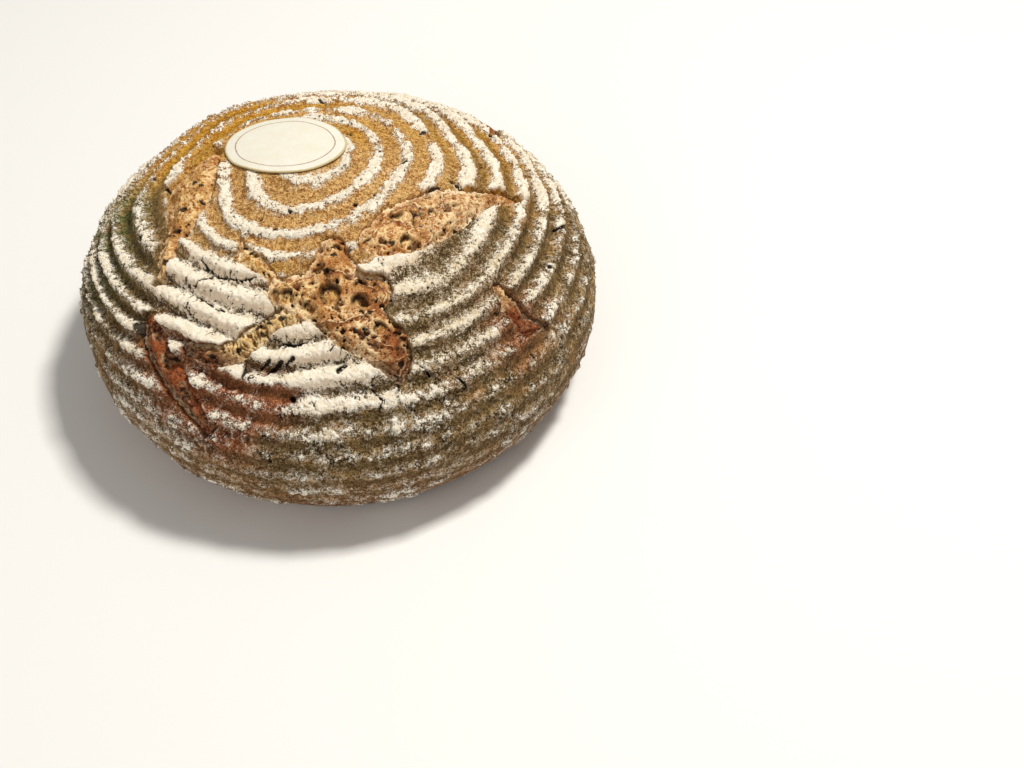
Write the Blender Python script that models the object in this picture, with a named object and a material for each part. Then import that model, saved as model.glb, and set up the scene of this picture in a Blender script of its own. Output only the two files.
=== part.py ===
"""A round spelt loaf that rose in a coiled cane basket and split in the oven, with an oval edible wafer on its crown.

The crust is worked out on a flat map of the loaf: a point's distance from the map's centre is its way over the crust
from the top of the loaf, and its direction there is its azimuth. The mesh's rows run along the coil that the basket
pressed into the dough, so that every crest and every hollow of the coil is a line of edges.
"""

import bisect
import math

import bmesh
import bpy
from mathutils import Vector

# The loaf's outline, in metres. The crown is a flattened dome, and the underside rolls in to a flat base.
LOAF_RADIUS = 0.113
LOAF_HEIGHT = 0.103
WIDEST_HEIGHT = 0.036
UNDERSIDE_RADIUS = 0.068
UNDERSIDE_SINK = 0.009

# How far the loaf strays from a true round.
OVALNESS = 0.008
OVAL_AZIMUTH = math.radians(35)
SLUMP = 0.0016
SLUMP_WAVES = 3

# Broad bulges and hollows of the dough on the flat map: arc in mm, azimuth in degrees, reach in mm, height in mm.
BULGES = [(95, 90, 22, -1.8), (98, 62, 24, -0.7), (97, 134, 24, 2.8), (150, 207, 26, -1.8), (160, 228, 26, -1.9)]

# The coil: its pitch on the crown and on the sides, its middle on the flat map, which drifts to the map's centre
# lower down, and the shares of a turn by which the dough bent it near some places (arc, azimuth, reach, turns).
COIL_PITCH = 0.01258
COIL_TIGHT_PITCH = 0.00874
COIL_TIGHTENS = (0.080, 0.099)
COIL_PHASE = 1.455
COIL_START = 0.0018
COIL_MIDDLE = Vector((-0.0112, 0.0061))
COIL_CENTRES = (0.080, 0.160)
COIL_BENDS = [
    (112, 243, 34, 0.49), (36, 236, 24, -0.39), (91, 276, 24, 0.53), (71, 315, 24, -0.33), (32, 342, 24, 0.32),
    (110, 180, 24, -0.40), (73, 74, 24, -0.36), (54, 158, 34, 0.31), (106, 229, 34, 0.44), (64, 39, 16, 0.28),
    (50, 217, 16, -0.28), (85, 135, 16, -0.31), (54, 112, 16, 0.16),
]
BEND_ROUNDS = 8

# The coil's ridges: low and sharp on the crown, high and round on the sides, and almost gone under the widest place.
CROWN_RIDGE = 0.0017
SIDE_RIDGE = 0.0032
CROWN_SHARPNESS = 2.4
SIDE_SHARPNESS = 1.0
RIDGE_GROWS = (0.050, 0.072)
RIDGE_FADES = (0.098, 0.136)
RIDGE_LEFT = 0.1
VALLEY_SHARE = 0.42
CRUST_SINK = 0.0017

# The mesh: columns round the loaf, closest together on the torn side, rows to each turn of the coil, and how much
# the rows spread where the coil has faded.
COLUMNS = 84
COLUMN_CROWDING = 0.38
CROWDED_AZIMUTH = math.radians(255)
ROWS_PER_PITCH = 5
ROWS_SPREAD = (0.128, 0.146)
SPREAD_RATE = 2.6
FAN_OFFSET = 0.0004

# The tears. Each runs along a line on the flat map: arc in mm, azimuth in degrees, half width in mm.
TEARS = {
    "crown_tear": [(43, 292, 3), (44, 303, 9), (44, 316, 12.5), (46, 330, 12.5), (50, 342, 11), (57, 352, 7.5),
                   (66, 359, 5), (78, 4, 2)],
    "middle_tear": [(43, 276, 5), (54, 275.5, 9), (66, 272, 10), (77, 282, 11.5), (88, 289.5, 9.5), (95, 291, 6.5),
                    (101, 291, 2.5)],
    "middle_arms": [(65, 258, 6), (64, 275, 9), (66, 290, 7)],
    "stretched_tear": [(74, 265, 3), (79, 258, 3.2), (85, 254, 3.8), (91, 251.5, 4.6), (97, 247, 4), (99, 238, 2.5)],
    "small_tear": [(52, 231, 1), (56, 238, 2.8), (58, 246, 3.4), (61, 254, 1.5)],
    "left_tear": [(56, 164, 4.5), (58, 174, 8.5), (60, 185, 11), (61, 195, 8.5), (67, 204, 5.5), (74, 209, 4.6),
                  (80, 214, 3.8), (86, 219, 1.5)],
    "low_tear": [(99, 224, 3.5), (105, 229, 5.5), (111, 236, 6), (117, 242, 5.5), (123, 246.5, 3.5), (128, 248, 1.5)],
    "right_tear": [(88, 327, 2), (97, 326, 4.5), (107, 326, 4.5), (114, 331, 2)],
    "back_tear": [(98, 44, 1.5), (104, 50, 5), (111, 57, 6), (118, 63, 4), (125, 67, 1.5)],
}
TEAR_DEPTH = 0.0048
TEAR_WALL = (-0.0014, 0.0030)
CRUMB_RISE = 0.0034
CRUMB_RISE_REACH = 0.009
LOWER_LIP = 0.0015
UPPER_LIP = 0.0007
LIP_REACH = 0.009

# The oval wafer, which lies on a smoothed seat on the crown.
WAFER_MIDDLE = Vector((-0.022, 0.016))
WAFER_HALF_LENGTH = 0.0265
WAFER_HALF_WIDTH = 0.0215
WAFER_TURN = math.radians(-16)
WAFER_THICKNESS = 0.0012
WAFER_GAP = 0.00035
SEAT_MARGIN = 0.0035
SEAT_SLOPE = 0.016
HEM = 0.009
WAFER_EDGE_POINTS = 40
WAFER_RINGS = 5

PROFILE_STEPS = 600

CRUST_LOOK = {"colour": (0.46, 0.27, 0.12, 1), "roughness": 0.9}
WAFER_LOOK = {"colour": (0.80, 0.76, 0.66, 1), "roughness": 0.8}


def clear_scene():
    for old in list(bpy.data.objects):
        bpy.data.objects.remove(old)


def smooth_step(value, low, high):
    """0 below low, 1 above high, and an even curve between them."""
    share = min(1.0, max(0.0, (value - low) / (high - low)))
    return share * share * (3 - 2 * share)


def outline_point(turn):
    """(radius, height) on the loaf's outline: turn is 0 at the crown, 1 at the widest place and 2 at the end."""
    if turn <= 1:
        angle = turn * math.pi / 2
        return LOAF_RADIUS * math.sin(angle), WIDEST_HEIGHT + (LOAF_HEIGHT - WIDEST_HEIGHT) * math.cos(angle)
    angle = (turn - 1) * math.pi / 2
    radius = UNDERSIDE_RADIUS + (LOAF_RADIUS - UNDERSIDE_RADIUS) * math.cos(angle)
    return radius, WIDEST_HEIGHT - (WIDEST_HEIGHT + UNDERSIDE_SINK) * math.sin(angle)


def measure_outline():
    """The outline as a list of (arc from the crown, radius, height)."""
    points = [(0.0, *outline_point(0))]
    for step in range(1, PROFILE_STEPS + 1):
        radius, height = outline_point(2 * step / PROFILE_STEPS)
        arc, last_radius, last_height = points[-1]
        points.append((arc + math.hypot(radius - last_radius, height - last_height), radius, height))
    return points


def bracket(table, value):
    """The two rows of a table round a value of its first column, and the value's share of the way between."""
    after = min(max(bisect.bisect_right(table, (value,)), 1), len(table) - 1)
    low, high = table[after - 1], table[after]
    return low, high, min(1.0, max(0.0, (value - low[0]) / (high[0] - low[0])))


OUTLINE = measure_outline()
BASE_ARC = next(arc for arc, radius, height in OUTLINE if height < 0)


def outline_at(arc):
    """(radius, height, outward radial share, outward vertical share) at an arc from the crown."""
    (arc_low, radius_low, height_low), (arc_high, radius_high, height_high), share = bracket(OUTLINE, arc)
    length = arc_high - arc_low
    radius = radius_low + (radius_high - radius_low) * share
    height = height_low + (height_high - height_low) * share
    return radius, height, (height_low - height_high) / length, (radius_high - radius_low) / length


def on_map(arc_mm, azimuth_deg):
    """The place on the flat map at an arc in millimetres and an azimuth in degrees."""
    azimuth = math.radians(azimuth_deg)
    return Vector((math.cos(azimuth), math.sin(azimuth))) * (arc_mm / 1000)


def blobs(place, table):
    """The sum of soft round blobs at a place on the map."""
    total = 0.0
    for arc_mm, azimuth_deg, reach_mm, height in table:
        away = (place - on_map(arc_mm, azimuth_deg)).length * 1000 / reach_mm
        total += height * math.exp(-away * away)
    return total


def settle(point):
    """The loaf's unevenness: it spread a little oval, and its shoulder slumped in a few soft waves."""
    azimuth = math.atan2(point.y, point.x)
    reach = math.hypot(point.x, point.y) / LOAF_RADIUS
    spread = 1 + OVALNESS * math.cos(2 * (azimuth - OVAL_AZIMUTH)) * reach * reach
    sag = SLUMP * math.sin(SLUMP_WAVES * azimuth) * smooth_step(reach, 0.4, 0.9) * point.z / LOAF_HEIGHT
    return Vector((point.x * spread, point.y * spread, point.z - sag))


def crust_point(place, relief):
    """The point of the crust above a place on the flat map, relief metres proud of the plain outline."""
    radius, height, outward, upward = outline_at(place.length)
    azimuth = math.atan2(place.y, place.x)
    proud = relief + blobs(place, BULGES) / 1000
    reach = radius + proud * outward
    return settle(Vector((reach * math.cos(azimuth), reach * math.sin(azimuth), height + proud * upward)))


def coil_pitch(arc):
    """How far apart the coil's turns lie at an arc. Where the coil has faded they spread, to save rows."""
    tight = COIL_PITCH + (COIL_TIGHT_PITCH - COIL_PITCH) * smooth_step(arc, *COIL_TIGHTENS)
    return tight * (1 + (SPREAD_RATE - 1) * smooth_step(arc, *ROWS_SPREAD))


def count_turns():
    """The coil as a list of (turns from its middle, arc from its middle), as far as the outline goes."""
    points = [(0.0, 0.0)]
    for (arc, *_), (following, *_) in zip(OUTLINE, OUTLINE[1:]):
        points.append((points[-1][0] + (following - arc) / coil_pitch(arc), following))
    return points


TURNS = count_turns()


def coil_arc_at(turns):
    low, high, share = bracket(TURNS, turns)
    return low[1] + (high[1] - low[1]) * share


def coil_place(turn, azimuth):
    """(coil arc, place on the map) at a turn number. How far the coil is bent depends on the place."""
    bend = 0.0
    for _ in range(BEND_ROUNDS):
        coil_arc = coil_arc_at(turn + COIL_PHASE + azimuth / (2 * math.pi) - bend)
        drift = COIL_MIDDLE * (1 - smooth_step(coil_arc, *COIL_CENTRES))
        place = Vector((math.cos(azimuth), math.sin(azimuth))) * coil_arc + drift
        bend = blobs(place, COIL_BENDS)
    return coil_arc, place


def turned(offset, angle):
    """An offset on the flat map, turned counter-clockwise by an angle."""
    cosine, sine = math.cos(angle), math.sin(angle)
    return Vector((offset.x * cosine - offset.y * sine, offset.x * sine + offset.y * cosine))


def wafer_distance(place):
    """How far a place on the map is outside the wafer's edge, roughly, and negative under the wafer."""
    offset = turned(place - WAFER_MIDDLE, -WAFER_TURN)
    share = math.hypot(offset.x / WAFER_HALF_LENGTH, offset.y / WAFER_HALF_WIDTH)
    return (share - 1) * WAFER_HALF_WIDTH


def ridge_height(turn, coil_arc):
    """The coil's relief: a crest at each whole turn, and a valley that reaches below the crust's middle height."""
    side = smooth_step(coil_arc, *RIDGE_GROWS)
    height = CROWN_RIDGE + (SIDE_RIDGE - CROWN_RIDGE) * side
    height *= 1 - (1 - RIDGE_LEFT) * smooth_step(coil_arc, *RIDGE_FADES)
    sharpness = CROWN_SHARPNESS + (SIDE_SHARPNESS - CROWN_SHARPNESS) * side
    return height * ((0.5 + 0.5 * math.cos(2 * math.pi * turn)) ** sharpness - VALLEY_SHARE)


def tear_lines():
    """Each stretch of each tear, as (start, end, half width at the start, half width at the end) on the map."""
    stretches = []
    for line in TEARS.values():
        nodes = [(on_map(arc_mm, azimuth_deg), half_width_mm / 1000) for arc_mm, azimuth_deg, half_width_mm in line]
        for (start, start_width), (end, end_width) in zip(nodes, nodes[1:]):
            stretches.append((start, end, start_width, end_width))
    return stretches


STRETCHES = tear_lines()


def nearest_tear(place):
    """(how deep inside a tear the place is, negative outside; how far down the loaf it lies from the tear's line)."""
    best = None
    for start, end, start_width, end_width in STRETCHES:
        along = end - start
        share = min(1.0, max(0.0, (place - start).dot(along) / along.length_squared))
        on_line = start + along * share
        inside = start_width + (end_width - start_width) * share - (place - on_line).length
        if best is None or inside > best[0]:
            best = (inside, place.length - on_line.length)
    return best


def tear_relief(place):
    """Inside a tear the crumb lies below the crust and rises to its middle. The lip below the tear stands proud."""
    inside, down = nearest_tear(place)
    lip = UPPER_LIP + (LOWER_LIP - UPPER_LIP) * smooth_step(down, 0.0, LIP_REACH)
    outer = lip * math.exp(min(inside, 0.0) / LIP_REACH)
    sunk = smooth_step(inside, *TEAR_WALL)
    crumb = -TEAR_DEPTH + CRUMB_RISE * smooth_step(inside, TEAR_WALL[1], CRUMB_RISE_REACH)
    return outer * (1 - sunk) + crumb * sunk, 1 - sunk


def crust_relief(place, turn, coil_arc):
    """All the relief at one place: coil, tears, the smooth seat under the wafer, and the plain hem at the base."""
    torn, crust_left = tear_relief(place)
    seat = wafer_distance(place)
    shaped = (ridge_height(turn, coil_arc) - CRUST_SINK * smooth_step(seat, 0.0, SEAT_SLOPE)) * crust_left + torn
    return shaped * smooth_step(seat, 0.0, SEAT_MARGIN) * smooth_step(BASE_ARC - place.length, 0.0, HEM)


def column_azimuth(column):
    even = 2 * math.pi * column / COLUMNS
    return even - COLUMN_CROWDING * math.sin(even - CROWDED_AZIMUTH)


def coil_vertex(mesh, row, column):
    """The mesh's vertex on a row and a column. Along a row the coil winds outwards as the azimuth grows."""
    turn = row / ROWS_PER_PITCH
    coil_arc, place = coil_place(turn, column_azimuth(column))
    return mesh.verts.new(crust_point(place, crust_relief(place, turn, coil_arc)))


def build_crust():
    """The crust from the coil's inner end down past the base plane, as one strip of rows that winds outwards."""
    mesh = bmesh.new()
    first_turn = COIL_PHASE + column_azimuth(0) / (2 * math.pi)
    first_row = math.ceil((COIL_START / COIL_PITCH - first_turn) * ROWS_PER_PITCH)
    last_row = math.ceil((TURNS[-1][0] + 1 - first_turn) * ROWS_PER_PITCH)
    vertices = {}
    for row in range(first_row, last_row + 1):
        for column in range(COLUMNS):
            vertices[row, column] = coil_vertex(mesh, row, column)
    for row in range(last_row + 1, last_row + ROWS_PER_PITCH + 1):
        vertices[row, 0] = coil_vertex(mesh, row, 0)

    def corner(row, column):
        return vertices[row + ROWS_PER_PITCH, 0] if column == COLUMNS else vertices[row, column]

    for row in range(first_row, last_row):
        for column in range(COLUMNS):
            upper = corner(row, column), corner(row, column + 1)
            lower = corner(row + 1, column + 1), corner(row + 1, column)
            mesh.faces.new((upper[0], lower[1], lower[0], upper[1]))
    close_crown(mesh, corner, first_row)
    return mesh


def close_crown(mesh, corner, first_row):
    """Closes the coil's inner end, which the wafer covers, with a fan round a point just off its middle."""
    rim = [corner(first_row, column) for column in range(COLUMNS + 1)]
    rim += [corner(first_row + step, 0) for step in range(ROWS_PER_PITCH - 1, 0, -1)]
    aside = column_azimuth(0) - math.pi / 2
    place = COIL_MIDDLE + Vector((math.cos(aside), math.sin(aside))) * FAN_OFFSET
    top = mesh.verts.new(crust_point(place, 0))
    for vertex, following in zip(rim, rim[1:] + rim[:1]):
        mesh.faces.new((top, vertex, following))


def flatten_base(mesh):
    """Cuts the crust level at the base plane and closes it with a flat face to rest on."""
    everything = mesh.verts[:] + mesh.edges[:] + mesh.faces[:]
    cut = bmesh.ops.bisect_plane(
        mesh, geom=everything, dist=1e-6, plane_co=(0, 0, 0), plane_no=(0, 0, -1), clear_outer=True
    )
    edges = [item for item in cut["geom_cut"] if isinstance(item, bmesh.types.BMEdge)]
    bmesh.ops.contextual_create(mesh, geom=edges)


def make_material(name, look):
    material = bpy.data.materials.new(name)
    material.use_nodes = True
    shader = material.node_tree.nodes["Principled BSDF"]
    shader.inputs["Base Color"].default_value = look["colour"]
    shader.inputs["Roughness"].default_value = look["roughness"]
    shader.inputs["Metallic"].default_value = 0
    return material


def make_object(name, mesh, look):
    """Turns a bmesh into a named object with outward faces, smooth shading and its material."""
    bmesh.ops.remove_doubles(mesh, verts=mesh.verts, dist=1e-5)
    bmesh.ops.triangulate(mesh, faces=mesh.faces)
    bmesh.ops.recalc_face_normals(mesh, faces=mesh.faces)
    data = bpy.data.meshes.new(name)
    mesh.to_mesh(data)
    mesh.free()
    data.shade_smooth()
    data.set_sharp_from_angle(angle=math.radians(50))
    data.materials.append(make_material(name, look))
    made = bpy.data.objects.new(name, data)
    bpy.context.scene.collection.objects.link(made)
    return made


def make_loaf():
    mesh = build_crust()
    flatten_base(mesh)
    return make_object("loaf", mesh, CRUST_LOOK)


def wafer_layer(mesh, lift):
    """One face of the wafer: rings of points that follow the crown, lift metres above it. Returns its outer ring."""
    middle = mesh.verts.new(crust_point(WAFER_MIDDLE, lift))
    inner = None
    for ring in range(1, WAFER_RINGS + 1):
        share = ring / WAFER_RINGS
        outer = []
        for step in range(WAFER_EDGE_POINTS):
            angle = 2 * math.pi * step / WAFER_EDGE_POINTS
            offset = Vector((WAFER_HALF_LENGTH * math.cos(angle), WAFER_HALF_WIDTH * math.sin(angle))) * share
            place = WAFER_MIDDLE + turned(offset, WAFER_TURN)
            outer.append(mesh.verts.new(crust_point(place, lift)))
        for step, vertex in enumerate(outer):
            following = outer[(step + 1) % WAFER_EDGE_POINTS]
            if inner is None:
                mesh.faces.new((middle, vertex, following))
            else:
                mesh.faces.new((inner[step], vertex, following, inner[(step + 1) % WAFER_EDGE_POINTS]))
        inner = outer
    return inner


def make_wafer():
    mesh = bmesh.new()
    under = wafer_layer(mesh, WAFER_GAP)
    upper = wafer_layer(mesh, WAFER_GAP + WAFER_THICKNESS)
    for step in range(WAFER_EDGE_POINTS):
        following = (step + 1) % WAFER_EDGE_POINTS
        mesh.faces.new((under[step], under[following], upper[following], upper[step]))
    return make_object("wafer_label", mesh, WAFER_LOOK)


def main():
    clear_scene()
    make_loaf()
    make_wafer()


main()
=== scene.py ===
# %% [markdown]
# # A round spelt loaf from a cane basket
#
# This lesson dresses a round loaf of spelt bread. The dough rose upside down in a basket of coiled cane
# that was dusted with flour, so the crust carries a spiral of floury ridges. In the oven the loaf rose
# faster than its crust could stretch, and it split, so that the crumb shows in rough, bubbly tears. A small
# oval wafer lies on the crown.
#
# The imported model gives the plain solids: the loaf with its coarse coil and tears, and the wafer. They fix
# the size and the place of everything. The lesson makes a finer loaf over them, with Geometry Nodes for the
# relief.

# %% The frame
import math

import bpy
import numpy as np
from mathutils import Matrix, Vector


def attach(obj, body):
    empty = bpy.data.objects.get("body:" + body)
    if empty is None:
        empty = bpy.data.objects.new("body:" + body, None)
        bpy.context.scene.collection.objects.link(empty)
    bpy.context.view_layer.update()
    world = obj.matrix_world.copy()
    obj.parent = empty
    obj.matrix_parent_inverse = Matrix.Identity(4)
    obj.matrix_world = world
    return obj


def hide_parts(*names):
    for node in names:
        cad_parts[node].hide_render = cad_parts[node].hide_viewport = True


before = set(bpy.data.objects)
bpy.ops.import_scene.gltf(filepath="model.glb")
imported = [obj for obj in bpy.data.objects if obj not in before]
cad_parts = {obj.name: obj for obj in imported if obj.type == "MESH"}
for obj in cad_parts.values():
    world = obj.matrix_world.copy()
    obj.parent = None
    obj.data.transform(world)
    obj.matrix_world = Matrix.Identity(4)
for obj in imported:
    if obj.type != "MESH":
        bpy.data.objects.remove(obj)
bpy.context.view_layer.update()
MM = 0.001


# %% [markdown]
# ## The camera
#
# A camera at arm's length looks down on the loaf at about 47 degrees. The place and the small roll were
# worked out from the loaf's outline and from the rings of its coil, which are circles seen at a slant.

# %% Camera
CAMERA_PLACE = Vector((0.07634, -0.45978, 0.46746))
CAMERA_ELEVATION = math.radians(46.86)
CAMERA_ROLL = math.radians(2.215)
LENS = 50
SENSOR = 36


def make_camera():
    data = bpy.data.cameras.new("camera")
    data.lens = LENS
    data.sensor_width = SENSOR
    data.dof.use_dof = False
    camera = bpy.data.objects.new("camera", data)
    level = Matrix.Rotation(math.pi / 2 - CAMERA_ELEVATION, 4, "X")
    camera.matrix_world = Matrix.Translation(CAMERA_PLACE) @ level @ Matrix.Rotation(CAMERA_ROLL, 4, "Z")
    bpy.context.scene.collection.objects.link(camera)
    bpy.context.scene.camera = camera
    return camera


camera = make_camera()
print("camera looks along", [round(v, 3) for v in -camera.matrix_world.col[2].xyz])

# %% [markdown]
# ## Floor and light
#
# A pale floor runs far out on every side. One lamp stands high over the loaf, a little to the right and
# behind, so that each ridge shows a bright back and a soft shaded front, as bread near a window does. A
# wide weak one fills the shade from the front, and the world adds an even glow.

# %% Floor and light
FLOOR_SIDE = 6.0
FLOOR_COLOUR = (0.86, 0.875, 0.90, 1)
FLOOR_ROUGHNESS = 0.7
AIM = Vector((0, 0, 0.05))
LAMPS = {  # place, side in metres, power in watts, colour
    "key": (Vector((0.48, 0.22, 1.38)), 0.22, 19.5, (1.0, 0.95, 0.85)),
    "fill": (Vector((-0.7, -1.3, 0.9)), 1.2, 6.5, (1.0, 0.93, 0.83)),
}
GLOW_COLOUR = (1.0, 0.96, 0.89, 1)
GLOW_STRENGTH = 0.29


def make_piece(name, points, faces):
    """An object in the scene from an array of points and a list of faces, shaded smooth."""
    mesh = bpy.data.meshes.new(name)
    mesh.from_pydata(points.tolist(), [], faces)
    mesh.shade_smooth()
    piece = bpy.data.objects.new(name, mesh)
    bpy.context.scene.collection.objects.link(piece)
    return piece


def make_floor():
    corners = np.array([(-1, -1, 0), (1, -1, 0), (1, 1, 0), (-1, 1, 0)]) * FLOOR_SIDE / 2
    floor = make_piece("floor", corners, [(0, 1, 2, 3)])
    material = bpy.data.materials.new("pale floor")
    material.use_nodes = True
    shader = material.node_tree.nodes["Principled BSDF"]
    shader.inputs["Base Color"].default_value = FLOOR_COLOUR
    shader.inputs["Roughness"].default_value = FLOOR_ROUGHNESS
    floor.data.materials.append(material)
    return floor


def make_lamp(name, place, side, power, colour):
    data = bpy.data.lights.new(name, "AREA")
    data.size, data.energy, data.color = side, power, colour
    lamp = bpy.data.objects.new(name, data)
    lamp.location = place
    lamp.rotation_euler = (AIM - place).to_track_quat("-Z", "Y").to_euler()
    bpy.context.scene.collection.objects.link(lamp)


def make_glow():
    world = bpy.data.worlds.new("studio")
    world.use_nodes = True
    background = world.node_tree.nodes["Background"]
    background.inputs["Color"].default_value = GLOW_COLOUR
    background.inputs["Strength"].default_value = GLOW_STRENGTH
    bpy.context.scene.world = world


floor = make_floor()
for name, sizes in LAMPS.items():
    make_lamp(name, *sizes)
make_glow()
bpy.context.scene.view_settings.view_transform = "Standard"

# %% [markdown]
# ## A short way to write node trees
#
# A relief or a finish is a sum of noises, ridges and masks. Written one node at a time, such a sum is long
# and hard to read, so a Wire stands for one value in a tree, and arithmetic on wires adds the Math nodes.
# Geometry Nodes and materials share these nodes, so the same helpers serve both.


# %% Wires
class Wire:
    """One value in a node tree. Sums with it add Math nodes to that tree."""

    def __init__(self, socket):
        self.socket = socket
        self.tree = socket.id_data

    def math(self, operation, *others):
        return make_node(self.tree, "ShaderNodeMath", [self, *others], operation=operation)

    def __add__(self, other):
        return self.math("ADD", other)

    def __sub__(self, other):
        return self.math("SUBTRACT", other)

    def __mul__(self, other):
        return self.math("MULTIPLY", other)

    def __truediv__(self, other):
        return self.math("DIVIDE", other)

    def __pow__(self, other):
        return self.math("POWER", other)

    def __neg__(self):
        return self.math("MULTIPLY", -1.0)

    __radd__ = __add__
    __rmul__ = __mul__

    def __rsub__(self, other):
        return (-self) + other

    def most(self, other):
        return self.math("MAXIMUM", other)

    def least(self, other):
        return self.math("MINIMUM", other)

    def clip(self):
        """The value kept between 0 and 1."""
        return self.least(1.0).most(0.0)

    def step(self, low, high):
        """0 below low, 1 above high and smooth between, for low under high."""
        inputs = {"Value": self, "From Min": low, "From Max": high}
        return make_node(self.tree, "ShaderNodeMapRange", inputs, interpolation_type="SMOOTHSTEP")


def plug(socket, value):
    """Joins a wire to a socket, or sets a plain value on it."""
    if isinstance(value, Wire):
        socket.id_data.links.new(value.socket, socket)
    else:
        socket.default_value = value


def make_node(tree, kind, values=(), output=0, **settings):
    """A node with its inputs filled, by order or by name. It gives the wire from one of its outputs."""
    node = tree.nodes.new(kind)
    for name, setting in settings.items():
        setattr(node, name, setting)
    pairs = values.items() if isinstance(values, dict) else enumerate(values)
    for key, value in pairs:
        plug(node.inputs[key], value)
    return Wire(node.outputs[output])


print("wires are ready")

# %% Patterns
FULL_TURN = 2 * math.pi


def noise(place, scale, detail=2.0, rough=0.5):
    """Soft noise about 0, mostly from -0.5 to 0.5, with features about 1/scale metres across."""
    inputs = {"Vector": place, "Scale": scale, "Detail": detail, "Roughness": rough}
    return make_node(place.tree, "ShaderNodeTexNoise", inputs, output="Fac") - 0.5


def cells(place, scale, feature="F1", output="Distance"):
    """Distances in a pattern of cells about 1/scale metres across."""
    inputs = {"Vector": place, "Scale": scale}
    return make_node(place.tree, "ShaderNodeTexVoronoi", inputs, output=output, feature=feature)


def vector_sum(first, second, operation="ADD"):
    return make_node(first.tree, "ShaderNodeVectorMath", [first, second], operation=operation)


def scaled(vector, factor):
    inputs = {"Vector": vector, "Scale": factor}
    return make_node(vector.tree, "ShaderNodeVectorMath", inputs, operation="SCALE")


def swayed(place, scale, amount):
    """A place pushed about by noise, so that straight lines in a pattern wander."""
    inputs = {"Vector": place, "Scale": scale, "Detail": 3.0}
    sway = make_node(place.tree, "ShaderNodeTexNoise", inputs, output="Color")
    return vector_sum(place, scaled(vector_sum(sway, (0.5, 0.5, 0.5), "SUBTRACT"), amount))


def flecks(place, scale, radius):
    """1 in small round spots, one to a cell, that vary in size."""
    bent = swayed(place, scale * 2, 0.9 / scale)
    return 1 - (cells(bent, scale) + noise(place, scale * 0.6, 1) * 0.4).step(radius * 0.7, radius)


print("patterns are ready")

# %% [markdown]
# ## The loaf's outline and its flat map
#
# Half a slice through the middle gives the outline: a flattened dome down to the widest place, and an
# underside that rolls in to the flat base. To draw on the crust it is easiest to unroll it like an orange's
# peel: a point's distance from the map's centre is its way over the crust from the crown, and its direction
# is its azimuth. The coil and the tears are drawn on that map in millimetres and degrees, and then carried
# back to the loaf.

# %% The outline
LOAF_RADIUS = 113 * MM
LOAF_HEIGHT = 103 * MM
WIDEST_HEIGHT = 36 * MM
UNDERSIDE_RADIUS = 68 * MM
UNDERSIDE_SINK = 9 * MM
OUTLINE_STEPS = 2001


def outline_table():
    """The outline as columns: arc from the crown, radius and height."""
    turn = np.linspace(0, 2, OUTLINE_STEPS)
    angle = np.where(turn <= 1, turn, turn - 1) * math.pi / 2
    under_radius = UNDERSIDE_RADIUS + (LOAF_RADIUS - UNDERSIDE_RADIUS) * np.cos(angle)
    under_height = WIDEST_HEIGHT - (WIDEST_HEIGHT + UNDERSIDE_SINK) * np.sin(angle)
    dome_height = WIDEST_HEIGHT + (LOAF_HEIGHT - WIDEST_HEIGHT) * np.cos(angle)
    radius = np.where(turn <= 1, LOAF_RADIUS * np.sin(angle), under_radius)
    height = np.where(turn <= 1, dome_height, under_height)
    steps = np.hypot(np.diff(radius), np.diff(height))
    return np.concatenate([[0], np.cumsum(steps)]), radius, height


ARC, RADIUS, HEIGHT = outline_table()
RADIUS_SLOPE, HEIGHT_SLOPE = np.gradient(RADIUS, ARC), np.gradient(HEIGHT, ARC)
BASE_ARC = float(np.interp(0, HEIGHT[::-1], ARC[::-1]))
WIDEST_ARC = ARC[np.argmax(RADIUS)]
print(f"over the crust: {WIDEST_ARC / MM:.0f} mm to the widest place, {BASE_ARC / MM:.0f} mm to the base")

# %% The map
def smooth_step(value, low, high):
    share = np.clip((value - low) / (high - low), 0, 1)
    return share * share * (3 - 2 * share)


def on_map(arc, azimuth_deg):
    """The place on the map at an arc in metres and an azimuth in degrees."""
    azimuth = math.radians(azimuth_deg)
    return np.array([math.cos(azimuth), math.sin(azimuth)]) * arc


def to_map(arc, azimuth):
    return np.column_stack([arc * np.cos(azimuth), arc * np.sin(azimuth)])


def from_map(places):
    return np.hypot(*places.T), np.arctan2(*places.T[::-1])


def blobs(places, table):
    """The sum of soft round blobs on the map, each given by its arc, azimuth, reach and height."""
    total = np.zeros(len(places))
    for arc, azimuth, reach, height in table:
        away = np.hypot(*(places - on_map(arc * MM, azimuth)).T) / (reach * MM)
        total += height * np.exp(-(away**2))
    return total


print("a place on the map:", on_map(100 * MM, 270).round(3))

# %% From the map to the loaf
OVALNESS = 0.008
OVAL_AZIMUTH = math.radians(35)
SLUMP = 1.6 * MM
SLUMP_WAVES = 3
BULGES = [
    (95, 90, 22, -1.8), (98, 62, 24, -0.7), (97, 134, 24, 2.8), (150, 207, 26, -1.8),
    (160, 228, 26, -1.9),
]


def settle(points):
    """The loaf's unevenness: a little oval, with a shoulder that slumped in a few soft waves."""
    x, y, z = points.T
    azimuth = np.arctan2(y, x)
    reach = np.hypot(x, y) / LOAF_RADIUS
    spread = 1 + OVALNESS * np.cos(2 * (azimuth - OVAL_AZIMUTH)) * reach**2
    sag = SLUMP * np.sin(SLUMP_WAVES * azimuth) * smooth_step(reach, 0.4, 0.9) * z / LOAF_HEIGHT
    return np.column_stack([x * spread, y * spread, z - sag])


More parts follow.
